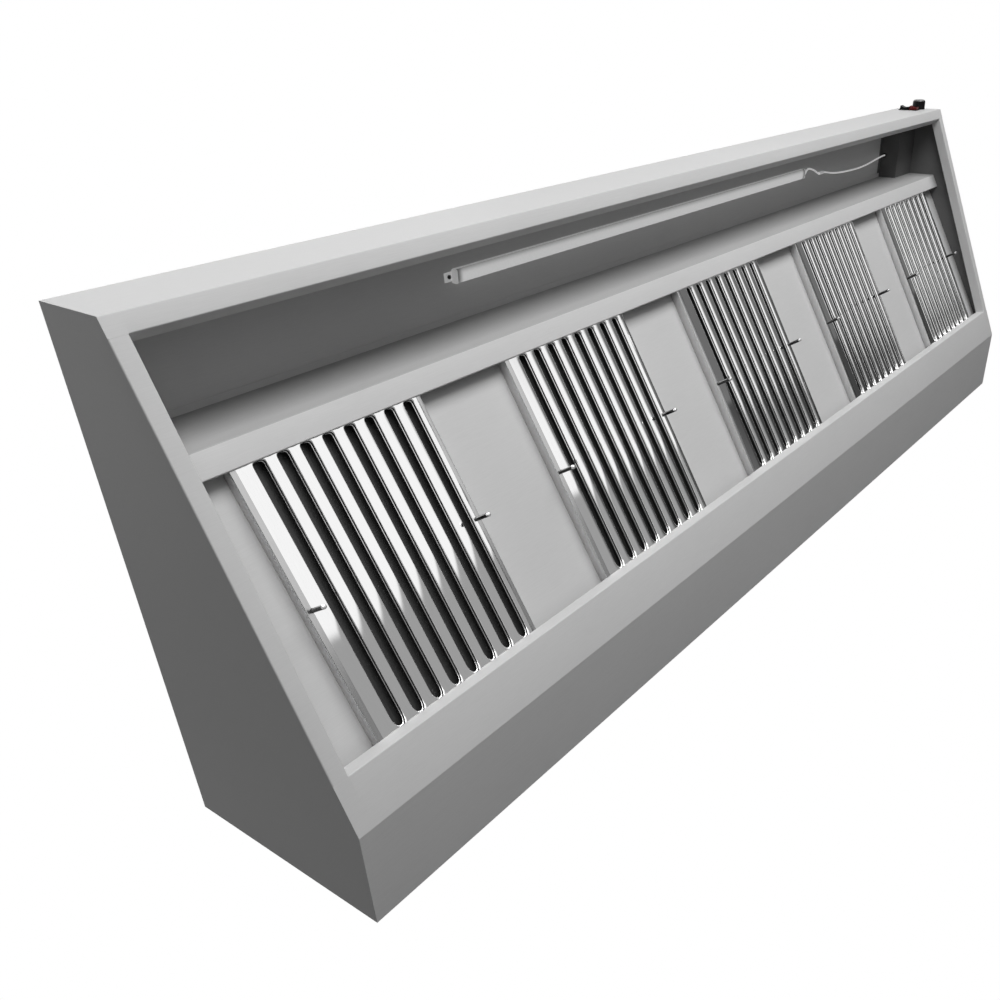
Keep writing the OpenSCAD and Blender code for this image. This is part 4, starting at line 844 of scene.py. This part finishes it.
def make_filter(n):
    """A filter's pressing, a sheet thick, and its two pins."""
    body = f"filter_{n}"
    points, faces, kinds = filter_pressing(n)
    pressing = make_piece(body + "_pressing", points, faces, body,
                          [mirror, brushed_frame, filter_side_painted_light], (body + "_face",), kinds=kinds,
                          merge=TINY)
    turn_faces(pressing.data, OUT_OF_FACE)
    pressing.data.set_sharp_from_angle(angle=math.radians(SHARP_TURN))
    wall = pressing.modifiers.new("sheet", "SOLIDIFY")
    wall.thickness = FILTER_SHEET * MM
    wall.offset = -1.0  # all of the thickness lies behind the face
    points, faces, kinds = pull_pins(n)
    make_piece(body + "_pull_pins", points, faces, body, [barrel, plated],
               (body + "_pulls",), kinds=kinds, merge=AXIS * MM)


for n in range(1, FILTERS + 1):
    make_filter(n)

# ---------------------------------------------------------------- lamp

COVER_SHEET, COVER_POWER = 0.8, 0.8  # the cover's wall, and what its arch's sine is raised to
CAP_ROUND, CAP_EDGE, CAP_GAP = 2.5, 0.8, 1.0
ARCH_POINTS = 25


def make_lamp_cover():
    """The frosted cover: a low arch of thin plastic on two upright feet, along the lamp."""
    top = -SHEET - LAMP_BODY
    angle = np.linspace(0, math.pi, ARCH_POINTS)
    line = np.column_stack([-LAMP_FROM_WALL - LAMP_W / 2 * np.cos(angle),
                            top - LAMP_COVER * np.abs(np.sin(angle)) ** COVER_POWER])
    way = np.gradient(line, axis=0)
    way /= np.linalg.norm(way, axis=1)[:, None]
    inner = line + np.column_stack([-way[:, 1], way[:, 0]]) * COVER_SHEET
    inner[:, 1] = np.minimum(inner[:, 1], top)
    ends = LAMP_MIDDLE - LAMP_LONG / 2, LAMP_MIDDLE + LAMP_LONG / 2
    points, faces = strip_solid(line, inner, along_x(*ends))
    make_piece("lamp_cover", points, faces, "canopy", [frosted],
               ("lamp_diffuser",))


def make_lamp_caps():
    """Two end caps: the lamp's outline with rounded corners and softened edges."""
    loop = rounded_box(-LAMP_FROM_WALL - LAMP_W / 2, -SHEET - LAMP_BODY - LAMP_COVER,
                       -LAMP_FROM_WALL + LAMP_W / 2, -SHEET - CAP_GAP, CAP_ROUND)
    parts = []
    for start in (LAMP_MIDDLE - LAMP_LONG / 2 - LAMP_CAP, LAMP_MIDDLE + LAMP_LONG / 2):
        ring, faces = prism(loop, start, start + LAMP_CAP, CAP_EDGE)
        parts.append((at(ring[:, [2, 0, 1]]), faces))
    points, faces = gather(*parts)
    make_piece("lamp_caps", points, faces, "canopy", [lamp_white],
               ("lamp_end_caps",))


make_lamp_cover()
make_lamp_caps()

# ---------------------------------------------------------------- switches and knob

SWITCH_X, SWITCH_DROP, SWITCH_PITCH = 1424.0, 40.0, 32.0
ROCKER_R, ROCKER_W, ROCKER_PROUD, ROCKER_TILT = 12.6, 21.6, 12.0, math.radians(8.0)
ROCKER_HOLLOW, HOLLOW_POWER = 3.0, 1.5  # depth of the hollow, and how steeply it rises
ROCKER_BACK, ROCKER_KEEL, ROCKER_EDGE, ROCKER_POINTS = 1.0, 5.6, 0.7, 15
KNOB_X, KNOB_DROP, KNOB_R, KNOB_H, KNOB_GAP = 1466.0, 73.0, 21.0, 28.0, 0.8
KNOB_BORE, BORE_DEEP, KNOB_HOLLOW, HOLLOW_DEEP = 3.05, 11.0, 10.0, 14.0  # radii, and from the top
KNOB_CHAMFER = 0.3
KNOB_FOOT = ((0.6, 0), (0, 0.6), (0, 3.0), (0.5, 4.0))  # inside the radius, and over the gap
KNOB_DRAFT = 0.8  # how far the skirt is drawn in where its crown starts
KNOB_CROWN, KNOB_CROWN_IN = 8.0, 6.0  # how far the knob's front edge is rounded back, and drawn in
# Painted highlight: the upper share of the knob's crown is painted grey
CROWN_HIGHLIGHT = 0.6  # the share of the crown that is pale
CROWN_POINTS, KNOB_SIDES, DISC_SIDES = 9, 96, 64
DISC_R, DISC_DEEP, DISC_CHAMFER = 13.0, 1.0, 0.4
# The disc's edge: how far inside its radius, and over the knob's top
DISC_EDGE = ((0.1, -1.0), (0.1, 0.1), (0.4, 0.4), (1.2, 0.5))
POINTER_HALF, POINTER_FROM, POINTER_TO, POINTER_HIGH = 0.5, 3.0, 10.0, 1.0
POINTER_ROUND, POINTER_EDGE = 0.4, 0.2


def on_front(points, x, drop):
    """From X, up and out of the front face, round a place on it, to the frame in metres."""
    p = np.asarray(points, float)
    return at(np.column_stack([p[:, 0] + x, -DEPTH - p[:, 2], p[:, 1] - drop]))


def make_rocker(n, body, solid, finish):
    """A rocker: a hollowed section with soft corners, tilted, its sides rounded.

    The section's height over its middle grows with the distance from it, raised to a power.
    """
    r, mid = ROCKER_R, ROCKER_PROUD - ROCKER_HOLLOW
    u = np.linspace(-r, r, ROCKER_POINTS)
    crest = mid + ROCKER_HOLLOW * (np.abs(u) / r) ** HOLLOW_POWER
    section = np.vstack([[(-r, -ROCKER_BACK), (0, -ROCKER_KEEL), (r, -ROCKER_BACK)],
                         np.column_stack([u, crest])[::-1]])
    ring, faces = prism(section, -ROCKER_W / 2, ROCKER_W / 2, ROCKER_EDGE)
    c, s = math.cos(ROCKER_TILT), math.sin(ROCKER_TILT)
    down, out = ring[:, 0], ring[:, 1]
    turned = np.column_stack([ring[:, 2], -down * c - out * s, out * c - down * s])
    make_piece(body + "_cap", on_front(turned, SWITCH_X, SWITCH_DROP + n * SWITCH_PITCH), faces,
               body, [finish], (solid,), turn=40.0)


def make_knob():
    """The knob: a turned skirt, its front edge a quarter of an ellipse whose upper part is painted
    grey as a highlight.
    """
    top = KNOB_GAP + KNOB_H
    turn = np.linspace(0, math.pi / 2, CROWN_POINTS)
    crown = np.column_stack([KNOB_R - KNOB_DRAFT - KNOB_CROWN_IN * (1 - np.cos(turn)),
                             top - KNOB_CROWN * (1 - np.sin(turn))])
    profile = [(KNOB_BORE, top - BORE_DEEP), (KNOB_HOLLOW, top - HOLLOW_DEEP),
               (KNOB_HOLLOW, KNOB_GAP + KNOB_CHAMFER), (KNOB_HOLLOW + KNOB_CHAMFER, KNOB_GAP),
               *((KNOB_R - inside, KNOB_GAP + over) for inside, over in KNOB_FOOT), *crown,
               (DISC_R + DISC_CHAMFER, top), (DISC_R, top - DISC_CHAMFER),
               (DISC_R, top - DISC_DEEP), (KNOB_BORE, top - DISC_DEEP)]
    ring, faces = lathe(profile, KNOB_SIDES, closed=True)
    pale = [int(ring[face, 2].min() > top - CROWN_HIGHLIGHT * KNOB_CROWN) for face in faces]
    make_piece("speed_knob_skirt", on_front(ring, KNOB_X, KNOB_DROP), faces, "speed_knob",
               [black, disc_grey], ("speed_knob",), kinds=pale, turn=35.0)


def make_disc():
    """The knob's pale disc with its pointer."""
    top = KNOB_GAP + KNOB_H
    edge = [(DISC_R - inside, top + over) for inside, over in DISC_EDGE]
    ring, faces = lathe([(AXIS, edge[0][1]), *edge, (AXIS, edge[-1][1])], DISC_SIDES)
    line = rounded_box(-POINTER_HALF, POINTER_FROM, POINTER_HALF, POINTER_TO, POINTER_ROUND)
    mark, mark_faces = prism(line, top, top + POINTER_HIGH, POINTER_EDGE)
    points, joined = gather((ring, faces), (mark, mark_faces))
    # The pointer takes the white finish with its painted light
    kinds = [0] * len(faces) + [1] * len(mark_faces)
    make_piece("speed_knob_face", on_front(points, KNOB_X, KNOB_DROP), joined, "speed_knob",
               [disc_grey, lamp_white], ("speed_knob_disc",), kinds=kinds,
               merge=AXIS * MM)


make_rocker(0, "light_rocker", "light_rocker", black)
make_rocker(1, "fan_rocker", "fan_rocker", red)
make_knob()
make_disc()

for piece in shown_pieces():
    if piece.name not in frame["nodes"] and "pressing" not in piece.name:
        turn_faces(piece.data)

# ---------------------------------------------------------------- floor, light and background

FLOOR, FLOOR_REACH = -2.3, 10.0
FLOOR_GREY, WHITE = (0.45, 0.45, 0.45, 1.0), (1.0, 1.0, 1.0, 1.0)
# What mirrors see of the floor, a painted reflection with the hood's painted shadow and a painted
# fade to the right: from one place to another, from one level to another
PAINTED_HOOD_SHADOW = (-1.36, -1.30, 1.0, 0.36)
PAINTED_RIGHT_FADE = (1.7, 3.5, 1.0, 0.16)
EVEN_SHARE = 0.75  # how much of the floor that the camera sees is even, not lit and shadowed
SKY = 0.045  # the sky's level for matt faces; the camera and mirrors see it white
# A soft lamp's place, what it looks at, its width and height, and its power
SOFT_LAMPS = {"front lamp": ((-0.1, -4.3, -1.4), (0.0, -0.5, 0.0), (6.0, 2.0), 192.0),
              "top lamp": ((0.0, -0.6, 3.2), (0.0, -0.4, 0.0), (5.0, 3.0), 60.0)}


def floor_finish():
    """Matt grey to the light, mostly even white to the camera, and a painted pool of light in
    mirrors.

    The pool is painted grey under the hood for the hood's shadow, and painted darker towards the
    far right end.
    """
    pale = bpy.data.materials.new("pale floor")
    tree = bare_tree(pale)
    path = node(tree, "ShaderNodeLightPath")
    place = node(tree, "ShaderNodeTexCoord")
    axis = node(tree, "ShaderNodeSeparateXYZ")
    # Painted reflection: the hood's shadow and the fade to the right are painted into the glow that
    # mirrors see
    under, fade = ranged(tree, *PAINTED_HOOD_SHADOW, smooth=True), ranged(tree, *PAINTED_RIGHT_FADE, smooth=True)
    shade = node(tree, "ShaderNodeMath", operation="MULTIPLY")
    pool, even = (node(tree, "ShaderNodeEmission", Color=WHITE) for _ in range(2))
    matt = node(tree, "ShaderNodeBsdfDiffuse", Color=FLOOR_GREY)
    share = node(tree, "ShaderNodeMath", operation="MULTIPLY")
    share.inputs[1].default_value = EVEN_SHARE
    seen, shown = node(tree, "ShaderNodeMixShader"), node(tree, "ShaderNodeMixShader")
    out = node(tree, "ShaderNodeOutputMaterial")
    wire(tree,
         (place, "Object", axis, 0), (axis, "Y", under, "Value"), (axis, "X", fade, "Value"),
         (under, "Result", shade, 0), (fade, "Result", shade, 1), (shade, 0, pool, "Strength"),
         (path, "Is Glossy Ray", seen, "Fac"), (matt, 0, seen, 1), (pool, 0, seen, 2),
         (path, "Is Camera Ray", share, 0), (share, 0, shown, "Fac"), (seen, 0, shown, 1),
         (even, 0, shown, 2), (shown, 0, out, "Surface"))
    return pale


def make_floor():
    """A plain floor well below the hood."""
    mesh = bpy.data.meshes.new("floor")
    corners = ((-1, -1), (1, -1), (1, 1), (-1, 1))
    mesh.from_pydata([(x * FLOOR_REACH, y * FLOOR_REACH, FLOOR) for x, y in corners], [],
                     [(0, 1, 2, 3)])
    mesh.materials.append(floor_finish())
    floor = bpy.data.objects.new("floor", mesh)
    bpy.context.scene.collection.objects.link(floor)


def make_sky():
    """A weak even sky, white to the camera and in mirrors."""
    world = bpy.data.worlds.new("studio")
    bpy.context.scene.world = world
    tree = bare_tree(world)
    path = node(tree, "ShaderNodeLightPath")
    seen = node(tree, "ShaderNodeMath", operation="MAXIMUM")
    all_seen = node(tree, "ShaderNodeMath", operation="MAXIMUM")
    level = ranged(tree, near=SKY)
    back = node(tree, "ShaderNodeBackground", Color=WHITE)
    out = node(tree, "ShaderNodeOutputWorld")
    wire(tree,
         (path, "Is Camera Ray", seen, 0), (path, "Is Glossy Ray", seen, 1),
         (seen, 0, all_seen, 0), (path, "Is Transmission Ray", all_seen, 1),
         (all_seen, 0, level, "Value"), (level, "Result", back, "Strength"),
         (back, 0, out, "Surface"))


def make_lamps():
    """A broad soft lamp low in front, and a weaker one above."""
    for name, (place, target, size, power) in SOFT_LAMPS.items():
        data = bpy.data.lights.new(name, "AREA")
        data.shape = "RECTANGLE"
        data.size, data.size_y = size
        data.energy = power
        lamp = bpy.data.objects.new(name, data)
        bpy.context.scene.collection.objects.link(lamp)
        way = Vector(target) - Vector(place)
        lamp.rotation_euler = way.to_track_quat("-Z", "Y").to_euler()
        lamp.location = place


make_floor()
make_sky()
make_lamps()
